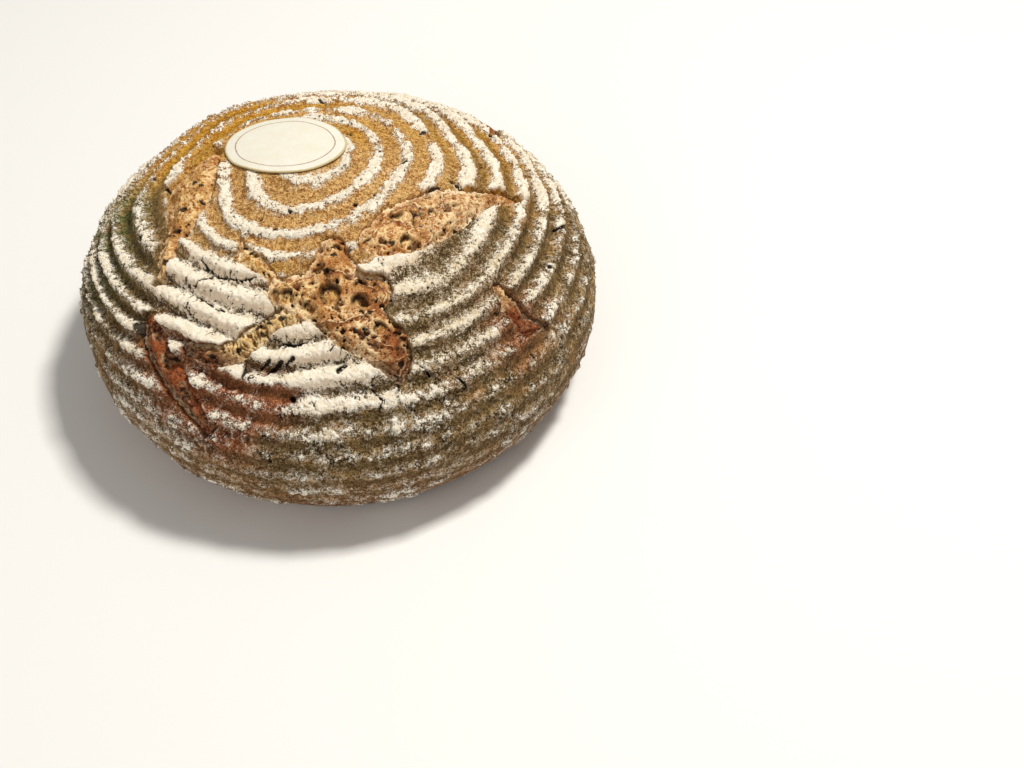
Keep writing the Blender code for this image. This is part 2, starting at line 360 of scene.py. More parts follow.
def loaf_points(arc, azimuth, proud=0.0):
    """Points on the loaf at an arc and an azimuth, or proud of it by some metres along its normal."""
    proud = proud + blobs(to_map(arc, azimuth), BULGES) * MM
    radius = np.interp(arc, ARC, RADIUS) - proud * np.interp(arc, ARC, HEIGHT_SLOPE)
    height = np.interp(arc, ARC, HEIGHT) + proud * np.interp(arc, ARC, RADIUS_SLOPE)
    return settle(np.column_stack([radius * np.cos(azimuth), radius * np.sin(azimuth), height]))


print("crown in mm:", (loaf_points(np.zeros(1), np.zeros(1))[0] / MM).round(1))

# %% [markdown]
# ## The coil
#
# The cane winds outwards, and its middle isn't the loaf's: it lay a little to the left. A point's turn
# number says how often the cane has gone round before it comes there. At whole numbers the dough stood up
# between two canes, and this is where the flour is thickest. The crown rose and spread most, so its ridges
# lie further apart than those on the sides, and where the crust split, the flaps slid a little. Each bend
# moves the ridges near one place by a part of a turn.

# %% Coil
COIL_PITCH = 12.58 * MM
COIL_TIGHT_PITCH = 8.74 * MM
COIL_TIGHTENS = (80 * MM, 99 * MM)
COIL_PHASE = 1.455
COIL_MIDDLE = np.array([-11.2, 6.1]) * MM
COIL_CENTRES = (80 * MM, 160 * MM)
DRIFT_ROUNDS = 12
PITCH_STEPS = 800
BENDS = [
    (112, 243, 34, 0.49), (36, 236, 24, -0.39), (91, 276, 24, 0.53), (71, 315, 24, -0.33),
    (32, 342, 24, 0.32), (110, 180, 24, -0.4), (73, 74, 24, -0.36), (54, 158, 34, 0.31),
    (106, 229, 34, 0.44), (64, 39, 16, 0.28), (50, 217, 16, -0.28), (85, 135, 16, -0.31),
    (54, 112, 16, 0.16),
]


def coil_seen(places):
    """(arc, azimuth) of places as seen from the coil's middle, which drifts to the loaf's further out."""
    coil_arc = np.hypot(*places.T)
    for _ in range(DRIFT_ROUNDS):
        drift = COIL_MIDDLE * (1 - smooth_step(coil_arc, *COIL_CENTRES))[:, None]
        coil_arc = np.hypot(*(places - drift).T)
    return coil_arc, np.arctan2(*(places - drift).T[::-1])


def coil_of(places):
    """(arc from the coil's middle, turn number) at places on the map."""
    coil_arc, azimuth = coil_seen(places)
    steps = np.linspace(0, BASE_ARC, PITCH_STEPS)
    pitch = COIL_PITCH + (COIL_TIGHT_PITCH - COIL_PITCH) * smooth_step(steps, *COIL_TIGHTENS)
    turns = np.concatenate([[0], np.cumsum(np.diff(steps) / pitch[1:])])
    turn = np.interp(coil_arc, steps, turns) - COIL_PHASE - azimuth / FULL_TURN
    return coil_arc, turn + blobs(places, BENDS)


print("turns down to the base:", int(coil_of(np.array([[0, -BASE_ARC]]))[1][0]))

# %% [markdown]
# ## The tears
#
# Each tear is a chain of points on the map, with half its width at each. Round every stretch of the chain
# lies a capsule, and the deepest capsule at a place says how far inside or outside the tear it is. One
# signed distance is enough to sink the crumb, lift the crust's torn edges and change the finish.

# %% Tears
FAR_OUTSIDE = -1.0
TEARS = {
    "crown tear": [
        (43, 292, 3), (44, 303, 9), (44, 316, 12.5), (46, 330, 12.5), (50, 342, 11), (57, 352, 7.5),
        (66, 359, 5), (78, 4, 2),
    ],
    "middle tear": [
        (43, 276, 5), (54, 275.5, 9), (66, 272, 10), (77, 282, 11.5), (88, 289.5, 9.5), (95, 291, 6.5),
        (101, 291, 2.5),
    ],
    "middle arms": [
        (65, 258, 6), (64, 275, 9), (66, 290, 7),
    ],
    "stretched tear": [
        (74, 265, 3), (79, 258, 3.2), (85, 254, 3.8), (91, 251.5, 4.6), (97, 247, 4), (99, 238, 2.5),
    ],
    "small tear": [
        (52, 231, 1), (56, 238, 2.8), (58, 246, 3.4), (61, 254, 1.5),
    ],
    "left tear": [
        (56, 164, 4.5), (58, 174, 8.5), (60, 185, 11), (61, 195, 8.5), (67, 204, 5.5), (74, 209, 4.6),
        (80, 214, 3.8), (86, 219, 1.5),
    ],
    "low tear": [
        (99, 224, 3.5), (105, 229, 5.5), (111, 236, 6), (117, 242, 5.5), (123, 246.5, 3.5),
        (128, 248, 1.5),
    ],
    "right tear": [
        (88, 327, 2), (97, 326, 4.5), (107, 326, 4.5), (114, 331, 2),
    ],
    "back tear": [
        (98, 44, 1.5), (104, 50, 5), (111, 57, 6), (118, 63, 4), (125, 67, 1.5),
    ],
}


def as_chain(line):
    """(place, half width) in metres of each point in a line of arcs, azimuths and half widths."""
    return [(on_map(arc * MM, azimuth), half_width * MM) for arc, azimuth, half_width in line]


def chain_fields(places, line):
    """(how far inside the chain's capsules, metres along the chain, metres below its line) at places."""
    inside = np.full(len(places), FAR_OUTSIDE)
    along, below = np.zeros((2, len(places)))
    run = 0.0
    chain = as_chain(line)
    for (start, start_width), (end, end_width) in zip(chain, chain[1:]):
        way = end - start
        length = np.hypot(*way)
        share = np.clip((places - start) @ way / length**2, 0, 1)
        on_line = start + share[:, None] * way
        here = start_width + (end_width - start_width) * share - np.hypot(*(places - on_line).T)
        best = here > inside
        inside = np.where(best, here, inside)
        along = np.where(best, run + share * length, along)
        below = np.where(best, np.hypot(*places.T) - np.hypot(*on_line.T), below)
        run += length
    return inside, along, below


def nearest_chain(places, lines):
    """(how far inside the nearest of some chains, metres below its line) at places on the map."""
    inside = np.full(len(places), FAR_OUTSIDE)
    below = np.zeros(len(places))
    for line in lines:
        here, _, here_below = chain_fields(places, line)
        below = np.where(here > inside, here_below, below)
        inside = np.maximum(inside, here)
    return inside, below


print("tears:", ", ".join(TEARS))

# %% [markdown]
# ## The wafer's seat
#
# The crust sinks a little where the wafer lies, since the wafer kept that place from rising. Its oval is
# placed on the same map, with the long axis turned as it lies in the photograph.

# %% The wafer's seat
WAFER_MIDDLE = np.array([-22.2, 15.4]) * MM
WAFER_HALF_LENGTH = 26.5 * MM
WAFER_HALF_WIDTH = 20.6 * MM
WAFER_TURN = math.radians(-16)
WAFER_COSINE, WAFER_SINE = math.cos(WAFER_TURN), math.sin(WAFER_TURN)


def wafer_distance(places):
    """How far outside the wafer's edge, roughly, and negative under the wafer."""
    offset = places - WAFER_MIDDLE
    along, across = offset @ (WAFER_COSINE, WAFER_SINE), offset @ (-WAFER_SINE, WAFER_COSINE)
    return (np.hypot(along / WAFER_HALF_LENGTH, across / WAFER_HALF_WIDTH) - 1) * WAFER_HALF_WIDTH


print("wafer in mm:", 2 * WAFER_HALF_LENGTH / MM, "by", 2 * WAFER_HALF_WIDTH / MM)

# %% [markdown]
# ## Gashes, pits and the way the flour lies
#
# Between the big tears the crust has short black gashes and small pits, where gas broke through. They are
# chains and dots on the same map. Broad soft strokes are painted on the map as well. Dusting is where more
# or less flour lay: thick on the flaps, thin near the base. The others say where the flour crackled as it
# dried, where it lies as a soft veil that the finish also greys as painted shadow, where the crust baked
# golden or stayed damp and red brown, and where it is painted a darker green brown, partly its own colour
# and partly painted shade.

# %% Small breaks
GASHES = [
    [(69.5, 231, 0.1), (73, 230.4, 0.6), (77, 229.6, 0.4), (80, 229, 0.1)],
    [(98, 259.5, 0.3), (93, 262.5, 0.85)], [(93.5, 263.6, 0.4), (91, 265.4, 0.75)],
    [(96.5, 257.5, 0.3), (93, 259.6, 0.6)], [(95.4, 276.6, 0.8), (93.6, 278.3, 0.5)],
    [(102, 254, 0.3), (97.5, 254.3, 0.8)], [(85, 259.5, 0.1), (86, 264.5, 0.5), (84, 268.5, 0.1)],
    [(39.5, 345, 0.6), (41.5, 351, 1.7), (44, 356.5, 0.7)], [(44.5, 352, 0.4), (48, 357.5, 1.2)],
    [(49, 4.5, 0.6), (53, 359.5, 1.3)], [(100, 296.5, 0.1), (104.5, 298, 0.4)],
    [(102, 289, 0.1), (107, 290, 0.45)], [(109, 304, 0.1), (114, 305.5, 0.35)],
    [(104, 284, 0.1), (109, 286, 0.35), (113, 285, 0.1)], [(71, 205.5, 0.9), (68, 202.5, 0.5)],
    [(58.5, 206, 0.5), (65.5, 210.5, 1.3)],
    [(68, 224.5, 0), (69, 233, 0.2), (66, 242, 0.2), (63.5, 249, 0)],
    [(80, 231, 0), (80.5, 240, 0.2), (79, 247, 0)], [(101, 224, 0.5), (104, 222, 1.2), (110, 227, 0.6)],
    [(86, 40, 0.4), (91, 44, 0.9)], [(60, 100, 0.2), (66, 103, 0.7)], [(96, 130, 0.3), (103, 128, 0.8)],
    [(99, 0, 0.3), (105, 4, 0.9)], [(84, 15, 0.3), (87, 22, 0.7)],
]
PITS = [
    (25, 82, 1.7), (50, 46, 1.3), (23, 299, 1.0), (23, 324, 0.8), (30, 18, 1.1), (92, 186, 1.5),
    (84, 171, 1.0), (75, 166, 1.0), (73, 182, 1.4), (110, 167, 1.8), (30, 241, 0.8), (39, 227, 0.7),
    (40, 240, 0.7), (103, 224, 1.6), (107, 266, 1.2), (57, 72, 0.9), (71, 95, 1.0), (66, 20, 1.1),
    (90, 75, 1.2), (88, 110, 1.0), (105, 95, 1.4), (100, 345, 1.2), (116, 25, 1.3), (84, 200, 1.2),
    (62, 130, 0.9),
]


def break_depth(places):
    """How far inside the nearest gash or pit, in metres, at places on the map."""
    depth, _ = nearest_chain(places, GASHES)
    for arc, azimuth, radius in PITS:
        depth = np.maximum(depth, radius * MM - np.hypot(*(places - on_map(arc * MM, azimuth)).T))
    return depth


print(len(GASHES), "gashes and", len(PITS), "pits")

# %% Broad strokes
CRUST_STROKES = {
    "dusting": [
        (78, 238, 26, 1.45), (92, 270, 20, 1.1), (64, 300, 14, 0.45), (88, 308, 34, 0.06), (62, 45, 34, 0.0),
        (48, 240, 14, 0.35), (47, 282, 13, 0.4), (52, 200, 12, 0.25), (80, 140, 34, -0.34),
        (92, 182, 22, -0.65), (14, 350, 9, 0.7), (30, 262, 9, 0.3), (74, 172, 10, 0.3), (107, 262, 10, -0.95),
        (107, 250, 8, -0.7), (118, 253, 10, -0.15), (100, 238, 9, -0.7), (106, 285, 12, 0.4),
        (120, 240, 16, -0.1), (104, 322, 16, -0.5), (25, 270, 18, -0.15), (98, 220, 12, -0.2),
        (70, 8, 25, 0.2), (110, 355, 30, -0.4), (120, 212, 26, -0.15), (118, 175, 26, -0.3),
        (112, 320, 22, -0.3), (84, 165, 14, -0.2),
    ],
    "crackled": [
        (70, 236, 20, 1.0), (84, 228, 14, 0.6), (88, 266, 18, 0.7), (48, 284, 12, 0.7), (46, 240, 14, 0.7),
        (108, 300, 13, 1.0), (62, 42, 20, 0.5), (75, 100, 18, 0.5), (90, 150, 16, 0.5), (100, 20, 18, 0.5),
        (96, 190, 12, 0.4),
    ],
    # soft: thin veils of flour, which the finish also paints greyer as painted shadow
    "soft": [
        (82, 310, 26, 0.85), (80, 330, 20, 0.6), (104, 305, 14, 0.5), (108, 170, 22, 0.4),
    ],
    # green: a darker green brown low on the left, partly the crust's own colour and partly painted shade
    "green": [
        (104, 180, 20, 1.2), (108, 200, 20, 0.8), (90, 186, 12, 0.4),
    ],
    "golden": [
        (84, 138, 40, 1.2), (60, 100, 22, 0.35), (100, 100, 30, 0.7), (28, 75, 12, 0.6), (56, 250, 9, 0.5),
        (78, 40, 34, 0.8), (72, 5, 16, 0.4), (80, 166, 14, 0.5),
    ],
    "browned": [
        (107, 262, 12, 1.3), (107, 248, 10, 1.2), (118, 253, 12, 1.1), (99, 238, 10, 1.3),
        (120, 240, 16, 0.8), (108, 228, 16, 0.8), (104, 325, 16, 0.9), (128, 250, 20, 0.6),
        (112, 60, 16, 0.7),
    ],
}
print("strokes on the crust:", {name: len(table) for name, table in CRUST_STROKES.items()})

# %% [markdown]
# ## A fine plain loaf
#
# The relief needs a mesh whose triangles are all about the same size. Rings with one fixed number of points
# would be crowded at the crown and coarse at the rim, so each ring gets as many points as its own length
# asks for, and neighbouring rings are zipped together: the zip always advances on the ring that lags
# behind. The crust is made in sectors like slices of a cake, so that each stays a piece of fair size, and
# flat walls inside the loaf close each slice.

# %% Rings and zips
RING_STEP = 0.50 * MM
COARSE_STEP = 2.4 * MM
BASE_STEP = 7 * MM
FINE_UNTIL = 132 * MM
COARSE_FROM = 150 * MM


def blend(low, high, share):
    """From low to high as share goes from 0 to 1."""
    return low + (high - low) * share


def ring_rows():
    """(arc, share of the base's radius) of all rings, from the crown to the base's middle."""
    arcs = [RING_STEP]
    while arcs[-1] < BASE_ARC - COARSE_STEP:
        coarse = smooth_step(arcs[-1], FINE_UNTIL, COARSE_FROM)
        arcs.append(arcs[-1] + blend(RING_STEP, COARSE_STEP, coarse))
    base_radius = float(np.interp(BASE_ARC, ARC, RADIUS))
    inner = np.arange(base_radius - BASE_STEP, BASE_STEP / 2, -BASE_STEP) / base_radius
    return [(arc, 1.0) for arc in arcs] + [(BASE_ARC, 1.0)] + [(BASE_ARC, share) for share in inner]


def zip_rows(first, first_gaps, second, second_gaps):
    """Triangles between two rows of points that start at indices first and second."""
    triangles = []
    i = j = 0
    while i < first_gaps or j < second_gaps:
        lags = i < first_gaps and (i + 1) * second_gaps <= (j + 1) * first_gaps
        if lags or j == second_gaps:
            triangles.append((first + i, second + j, first + i + 1))
            i += 1
        else:
            triangles.append((first + i, second + j, second + j + 1))
            j += 1
    return triangles


print("rings from crown to base:", len(ring_rows()))


# %% Sectors
def sector(start, span, fine_step):
    """(arcs, azimuths, base shares, triangles, walls' triangles) of the slice from start over span."""
    columns = [(np.zeros(1), np.full(1, start), np.ones(1))]
    triangles, seams = [], [(0, 0)]
    row, gaps, total = 0, 0, 1
    for arc, share in ring_rows():
        coarse = smooth_step(arc, FINE_UNTIL, COARSE_FROM)
        step = blend(fine_step, COARSE_STEP, coarse) if share == 1 else BASE_STEP
        new_gaps = max(2, int(round(span * share * np.interp(arc, ARC, RADIUS) / step)))
        along = np.linspace(0, span, new_gaps + 1)
        columns.append((np.full(new_gaps + 1, arc), start + along, np.full(new_gaps + 1, share)))
        triangles += zip_rows(row, gaps, total, new_gaps)
        row, gaps, total = total, new_gaps, total + new_gaps + 1
        seams.append((row, row + gaps))
    triangles += zip_rows(row, gaps, total, 0)
    columns.append((np.full(1, BASE_ARC), np.full(1, start), np.zeros(1)))
    seams.append((total, total))
    wall = []
    for (left, right), (lower_left, lower_right) in zip(seams, seams[1:]):
        wall += [(lower_left, left, total + 1), (right, lower_right, total + 1)]
    arcs, azimuths, shares = (np.concatenate(column) for column in zip(*columns))
    return arcs, azimuths, shares, triangles, wall


print("triangles in a slice of 10 degrees:", len(sector(0, math.radians(10), RING_STEP)[3]))

# %% [markdown]
# ## What the map says at each point
#
# Node trees can't read Python's tables, so each value of the map is kept on the points of the mesh under a
# name. Two directions go with them: straight out of the loaf, and over the crust toward the nearest tear.


# %% Values and directions
NO_SLOPE = 1e-9


def store(piece, name, values):
    """Keeps one number, or one vector, for each point of a piece, for node trees to read."""
    kind, key = ("FLOAT_VECTOR", "vector") if values.ndim == 2 else ("FLOAT", "value")
    attribute = piece.data.attributes.new(name, kind, "POINT")
    spare = len(piece.data.vertices) - len(values)
    values = np.concatenate([values, np.zeros((spare, *values.shape[1:]))])
    attribute.data.foreach_set(key, values.astype(np.float32).ravel())


def outward(arcs, azimuths):
    """The direction straight out of the loaf."""
    ways = loaf_points(arcs, azimuths, 1 * MM) - loaf_points(arcs, azimuths)
    return ways / np.linalg.norm(ways, axis=1)[:, None]


def toward_tear(places):
    """The direction over the loaf, in space, in which a place comes nearer to a tear's line."""
    nudge = 0.2 * MM
    here, right, up = (
        nearest_chain(places + shift, TEARS.values())[0] for shift in (0, (nudge, 0), (0, nudge))
    )
    slope = np.column_stack([right - here, up - here])
    slope /= np.maximum(np.hypot(*slope.T), NO_SLOPE)[:, None]
    arc, azimuth = from_map(places)
    down_map = to_map(np.ones(len(places)), azimuth)
    round_map = np.column_stack([-np.sin(azimuth), np.cos(azimuth)])
    down, across = (slope * down_map).sum(1), (slope * round_map).sum(1)
    spread, fall = np.interp(arc, ARC, RADIUS_SLOPE), np.interp(arc, ARC, HEIGHT_SLOPE)
    level = down_map * (down * spread)[:, None] + round_map * across[:, None]
    return np.column_stack([level, down * fall])


print("out at the crown:", outward(np.zeros(1), np.zeros(1))[0].round(3))

# %% Slices
SLICES = {  # first azimuth and span in degrees, the points' distance along a ring
    "crust_left": (172, 90, 0.48 * MM),
    "crust_right": (262, 90, 0.48 * MM),
    "crust_back": (352, 180, 0.82 * MM),
}
WALL_MIDDLE = np.array([0, 0, 45]) * MM
FLOW_ACROSS = 12.0
FLOW_DOWN = 16 * MM


def flow_place(places):
    """A place in a pattern that is drawn out down the loaf, so that cracks in it cross the ridges."""
    arc, azimuth = coil_seen(places)
    return np.column_stack([to_map(FLOW_ACROSS, azimuth), arc / FLOW_DOWN])


def make_slice(name, start, span, fine_step):
    arcs, azimuths, shares, triangles, wall = sector(math.radians(start), math.radians(span), fine_step)
    places = to_map(arcs, azimuths)
    points = loaf_points(arcs, azimuths)
    points[:, :2] *= shares[:, None]
    slice_piece = make_piece(name, np.vstack([points, WALL_MIDDLE]), triangles + wall)
    smooth = np.repeat([True, False], [len(triangles), len(wall)])
    slice_piece.data.polygons.foreach_set("use_smooth", smooth)
    coil_arc, turn = coil_of(places)
    tear, below = nearest_chain(places, TEARS.values())
    fields = {
        "coil arc": coil_arc, "turn": turn, "tear": tear, "below": below, "seat": wafer_distance(places),
        "hem": np.where(shares < 1, 0, BASE_ARC - arcs), "gash": break_depth(places),
        "toward": toward_tear(places), "out": outward(arcs, azimuths), "flow": flow_place(places),
    }
    fields.update({field: blobs(places, table) for field, table in CRUST_STROKES.items()})
    for field, values in fields.items():
        store(slice_piece, field, values)
    print(f"{name}: {len(slice_piece.data.polygons)} triangles")
    return slice_piece


slices = [make_slice(name, *sizes) for name, sizes in SLICES.items()]

# %% [markdown]
# ## Geometry Nodes by script
#
# Each relief is a tree with named inputs for its sizes. The object that carries the tree is evaluated once,
# its result becomes a plain mesh, and the modifier goes.


# %% Trees and how they are run
def start_tree(name, sizes):
    """A geometry tree with a named input for each size: (tree, geometry wire, size wires)."""
    tree = bpy.data.node_groups.new(name, "GeometryNodeTree")
    for way in ("INPUT", "OUTPUT"):
        tree.interface.new_socket("Geometry", in_out=way, socket_type="NodeSocketGeometry")
    for label, value in sizes.items():
        tree.interface.new_socket(label, in_out="INPUT", socket_type="NodeSocketFloat").default_value = value
    group_in = tree.nodes.new("NodeGroupInput")
    wires = {socket.name: Wire(socket) for socket in group_in.outputs if socket.name}
    return tree, wires.pop("Geometry"), wires


def end_tree(geometry, material):
    """Closes a tree with Realize Instances and Set Material."""
    real = make_node(geometry.tree, "GeometryNodeRealizeInstances", [geometry])
    finished = make_node(geometry.tree, "GeometryNodeSetMaterial", {"Geometry": real, "Material": material})
    plug(geometry.tree.nodes.new("NodeGroupOutput").inputs[0], finished)


def run_tree(piece, tree, sizes):
    """Runs a tree on a piece with these sizes, and leaves the result as the piece's plain mesh."""
    modifier = piece.modifiers.new(tree.name, "NODES")
    modifier.node_group = tree
    for item in tree.interface.items_tree:
        if item.in_out == "INPUT" and item.name in sizes:
            modifier[item.identifier] = sizes[item.name]
    graph = bpy.context.evaluated_depsgraph_get()
    evaluated = piece.evaluated_get(graph)
    made = bpy.data.meshes.new_from_object(evaluated, preserve_all_data_layers=True, depsgraph=graph)
    piece.modifiers.clear()
    piece.data = made


print("trees are ready")


# %% Reading and writing points in a tree
def read(tree, name, kind="FLOAT"):
    node = tree.nodes.new("GeometryNodeInputNamedAttribute")
    node.data_type = kind
    node.inputs["Name"].default_value = name
    return Wire(next(s for s in node.outputs if s.enabled and s.name == "Attribute"))


def point_place(tree):
    return Wire(tree.nodes.new("GeometryNodeInputPosition").outputs[0])


def keep(geometry, **values):
    """Stores values on the points of a geometry, each under its name, for the finish to read."""
    for name, value in values.items():
        inputs = {"Geometry": geometry, "Name": name, "Value": value}
        settings = {"data_type": "FLOAT", "domain": "POINT"}
        geometry = make_node(geometry.tree, "GeometryNodeStoreNamedAttribute", inputs, **settings)
    return geometry


def shifted(geometry, offset):
    return make_node(geometry.tree, "GeometryNodeSetPosition", {"Geometry": geometry, "Offset": offset})


print("points can be read and moved")

# %% [markdown]
# ## The crust's finish
#
# Baked rye and spelt crust is tan where it was open to the heat, golden at the back, olive brown lower down
# and red brown in the folds. Flour from the basket lies thick on the ridges, cracks as the crust stretches
# under it, and thins out to single grains in the hollows. One material mixes crust, a veil of flour and
# flour cake. Every border is a soft mask plus fine noise, so it frays into grains, and each crust colour is
# itself a mixture of a dark and a pale grain.


# %% Finish helpers
DULL_SPECULAR = 0.2


def start_material(name, roughness):
    """(material, object coordinates wire, shader node) for a rough, dull food finish."""
    material = bpy.data.materials.new(name)
    material.use_nodes = True
    shader = material.node_tree.nodes["Principled BSDF"]
    shader.inputs["Roughness"].default_value = roughness
    shader.inputs["Specular IOR Level"].default_value = DULL_SPECULAR
    return material, Wire(material.node_tree.nodes.new("ShaderNodeTexCoord").outputs["Object"]), shader


def kept(place, name):
    """What a relief kept on the points under this name, for a finish."""
    return make_node(place.tree, "ShaderNodeAttribute", output="Fac", attribute_name=name)


def mix(share, first, second):
    """A colour between two, each an rgb triple or a wire."""
    node = share.tree.nodes.new("ShaderNodeMix")
    node.data_type = "RGBA"
    plug(node.inputs["Factor"], share)
    for key, colour in (("A", first), ("B", second)):
        socket = next(s for s in node.inputs if s.name == key and s.type == "RGBA")
        plug(socket, colour if isinstance(colour, Wire) else (*colour, 1))
    return Wire(next(s for s in node.outputs if s.type == "RGBA"))


def painted(surface, *coats):
    """A colour under coats, each a share from 0 to 1 and a colour."""
    for share, colour in coats:
        surface = mix(share, surface, colour)
    return surface


def finish_with(shader, surface, height, depth):
    """Gives a shader its colour and a bump of some depth in metres."""
    plug(shader.inputs["Base Color"], surface)
    inputs = {"Strength": 1.0, "Distance": depth, "Height": height}
    plug(shader.inputs["Normal"], make_node(surface.tree, "ShaderNodeBump", inputs, output="Normal"))


print("finish helpers are ready")

# %% Colours of the crust
CRUST_PAIRS = {
    "tan": ((0.22, 0.08, 0.014), (0.8, 0.52, 0.21)),
    "gold": ((0.26, 0.085, 0.002), (0.72, 0.4, 0.035)),
    "olive": ((0.042, 0.023, 0.007), (0.36, 0.235, 0.095)),
    "brown": ((0.085, 0.018, 0.007), (0.44, 0.16, 0.062)),
    "base": ((0.09, 0.034, 0.01), (0.4, 0.19, 0.065)),
    "green": ((0.022, 0.029, 0.008), (0.235, 0.235, 0.08)),
}
FLOUR_WHITE = (0.96, 0.91, 0.82)
FLOUR_SHADE = (0.57, 0.43, 0.225)
# a rosy beige painted shade for the lower faces of the side ridges
ROSY_PAINTED_SHADE = (0.80, 0.60, 0.42)
# painted shade for the hollows between the ridges on the sides
VALLEY_SHADE = (0.055, 0.034, 0.012)
# the crust's own dark flecks, and the near black of painted shade in cracks and gashes
DARK_FLECK_AND_CRACK_SHADE = (0.022, 0.014, 0.009)


def baked_crust(place, grain, crumbly, patch, golden):
    """(bare crust's colour, 0 on the crown to 1 on the sides), own colours with painted shade in side
    hollows.
    """
    cloud = noise(place, 36, 2)
    speckle = (grain * 3.0 + crumbly * 2.6 + patch * 1.4 + 0.5).clip()
    shade = {name: mix(speckle, *pair) for name, pair in CRUST_PAIRS.items()}
    side = (kept(place, "coil arc") + cloud * 14 * MM).step(56 * MM, 74 * MM)
    near_base = 1 - (kept(place, "hem") + patch * 26 * MM).step(2 * MM, 58 * MM)
    crust = painted(
        mix(side * (1 - golden), shade["tan"], shade["olive"]),
        # partly painted shade: the green strokes darken the crust low on the left
        ((kept(place, "green") + patch).clip(), shade["green"]),
        (golden, shade["gold"]),
        ((kept(place, "browned") + patch * 1.2 + cloud).clip(), shade["brown"]),
        (near_base, shade["base"]),
        # painted shade: the hollows between the side ridges are darkened
        ((kept(place, "trough") + patch * 1.5).clip() * 0.45, VALLEY_SHADE),
    )
    return crust, side


print("crust colours:", ", ".join(CRUST_PAIRS))


# %% Crust finish
def make_crust_finish():
    material, place, shader = start_material("floured crust", 0.92)
    grain, crumbly, patch = noise(place, 1700, 2, 0.7), noise(place, 560, 3, 0.65), noise(place, 150, 3, 0.6)
    golden = (kept(place, "golden") + patch * 0.8).clip()
    crust, side = baked_crust(place, grain, crumbly, patch, golden)

    whole = 1 - kept(place, "edge").step(-0.5 * MM, 0.4 * MM)
    thick = kept(place, "flour")
    amount = thick + crumbly * 1.4 + grain * 1.6 + patch * (1 - side) * 1.2
    cake = amount.step(0.0, 0.18) * whole
    veil = (amount + grain * 1.8 + crumbly * 1.4 + patch * 1.2).step(-0.65, 0.6) * (0.45 - golden * 0.33)
    pale = flecks(place, 760, 0.30) * (crumbly + thick * 0.3).step(-0.22, 0.05) * (0.8 - golden * 0.5)
    dark = flecks(scaled(place, 1.3), 640, 0.24) * (patch + crumbly - thick * 0.2).step(-0.05, 0.12)

    dapple = (crumbly * 2.2 + grain * 2.0 + patch * 1.6) * (1 - thick.step(0.3, 1.1) * 0.6)
    # painted shadow: under the soft strokes the flour is painted greyer; elsewhere its tone varies at random
    flour = mix((dapple + 0.76 - kept(place, "soft") * 0.3).clip(), FLOUR_SHADE, FLOUR_WHITE)
    # painted shade: flour on the lower face of each side ridge is painted rosy beige
    flour = mix((kept(place, "face") + patch).clip() * 0.5, flour, ROSY_PAINTED_SHADE)
    # painted shade: cracks in the flour and the gashes are painted near black, as the shade in them
    crack = 1 - (kept(place, "split") + grain * 0.5).step(0.2, 0.55)
    crack = crack.most((1 - cells(place, 300).step(0.09, 0.16)) * crumbly.step(0.0, 0.06) * 0.75)
    surface = painted(
        crust, (veil.most(pale) * whole, flour), (cake, flour), (dark * 0.8, DARK_FLECK_AND_CRACK_SHADE), (crack * 0.95, DARK_FLECK_AND_CRACK_SHADE)
    )
    finish_with(shader, surface, cake * 0.4 + grain * 0.8 + crumbly * 1.2 - crack * 1.2, 0.5 * MM)
    return material


crust_finish = make_crust_finish()
print("finish:", crust_finish.name)

# %% [markdown]
# ## The relief of the crust
#
# The tree reads the map's values at every point and adds up what happened to the dough there: the ridges,
# low and sharp on the crown and broad on the sides, soft lumps, the flour cake with its ragged borders,
# cracks and gashes, and the torn edges, which stand proud, lean out over the tear and then drop steeply
# below the crumb. It keeps what the finish needs.

# %% Sizes of the crust's relief
CRUST_SIZES = {
    "Sink": 1.7 * MM,
    "Crown Ridge": 1.7 * MM,
    "Side Ridge": 3.2 * MM,
    "Ridge Wobble": 0.12,
    "Upper Side": 0.09,
    "Lumps": 1.7 * MM,
    "Grit": 1.0 * MM,
    "Flour Cake": 0.7 * MM,
    "Crack Depth": 1.0 * MM,
    "Gash Depth": 2.2 * MM,
    "Ragged Edge": 3.6 * MM,
    "Opened": 1.7 * MM,
    "Tear Wall": 6.0 * MM,
    "Lower Lip": 1.5 * MM,
    "Upper Lip": 0.7 * MM,
    "Rolled Edge": 0.4 * MM,
    "Overhang": 1.1 * MM,
}
LIP_REACH = 9 * MM


class Dough:
    """What the parts of the crust's tree share: the map's values, the noises and the coil's wave."""

    def __init__(self, tree, size):
        self.tree, self.size, self.place = tree, size, point_place(tree)
        self.coarse, self.middling = noise(self.place, 55, 3), noise(self.place, 170, 3, 0.6)
        self.fine, self.crumbs = noise(self.place, 520, 3, 0.65), noise(self.place, 1000, 2, 0.6)
        wobble = (noise(self.place, 30) * 1.2 + self.middling * 0.7 + self.fine * 0.15) * size["Ridge Wobble"]
        self.turn = self.read("turn") + wobble
        self.dusted = self.wave(self.turn + size["Upper Side"])
        self.side = self.read("coil arc").step(50 * MM, 72 * MM)
        self.low = self.read("coil arc").step(98 * MM, 136 * MM)
        self.golden = self.read("golden").step(0.0, 1.0)

    def read(self, name, kind="FLOAT"):
        return read(self.tree, name, kind)

    def wave(self, turn):
        """1 on the ridges and 0 between them."""
        return (turn * FULL_TURN).math("COSINE") * 0.5 + 0.5


print("sizes of the crust's relief:", len(CRUST_SIZES))


# %% Ridges, flour and cracks
def ridges(dough):
    side, size = dough.side, dough.size
    height = size["Crown Ridge"] * (1 - side) + size["Side Ridge"] * side
    height = height * (1 - dough.low * 0.85) * (1 - dough.golden * side * 0.35)
    varied = 1 + noise(dough.place, 42) * 1.6 + dough.middling * 0.6
    return (dough.wave(dough.turn) ** (2.4 - side * 1.4) - 0.42) * height * varied


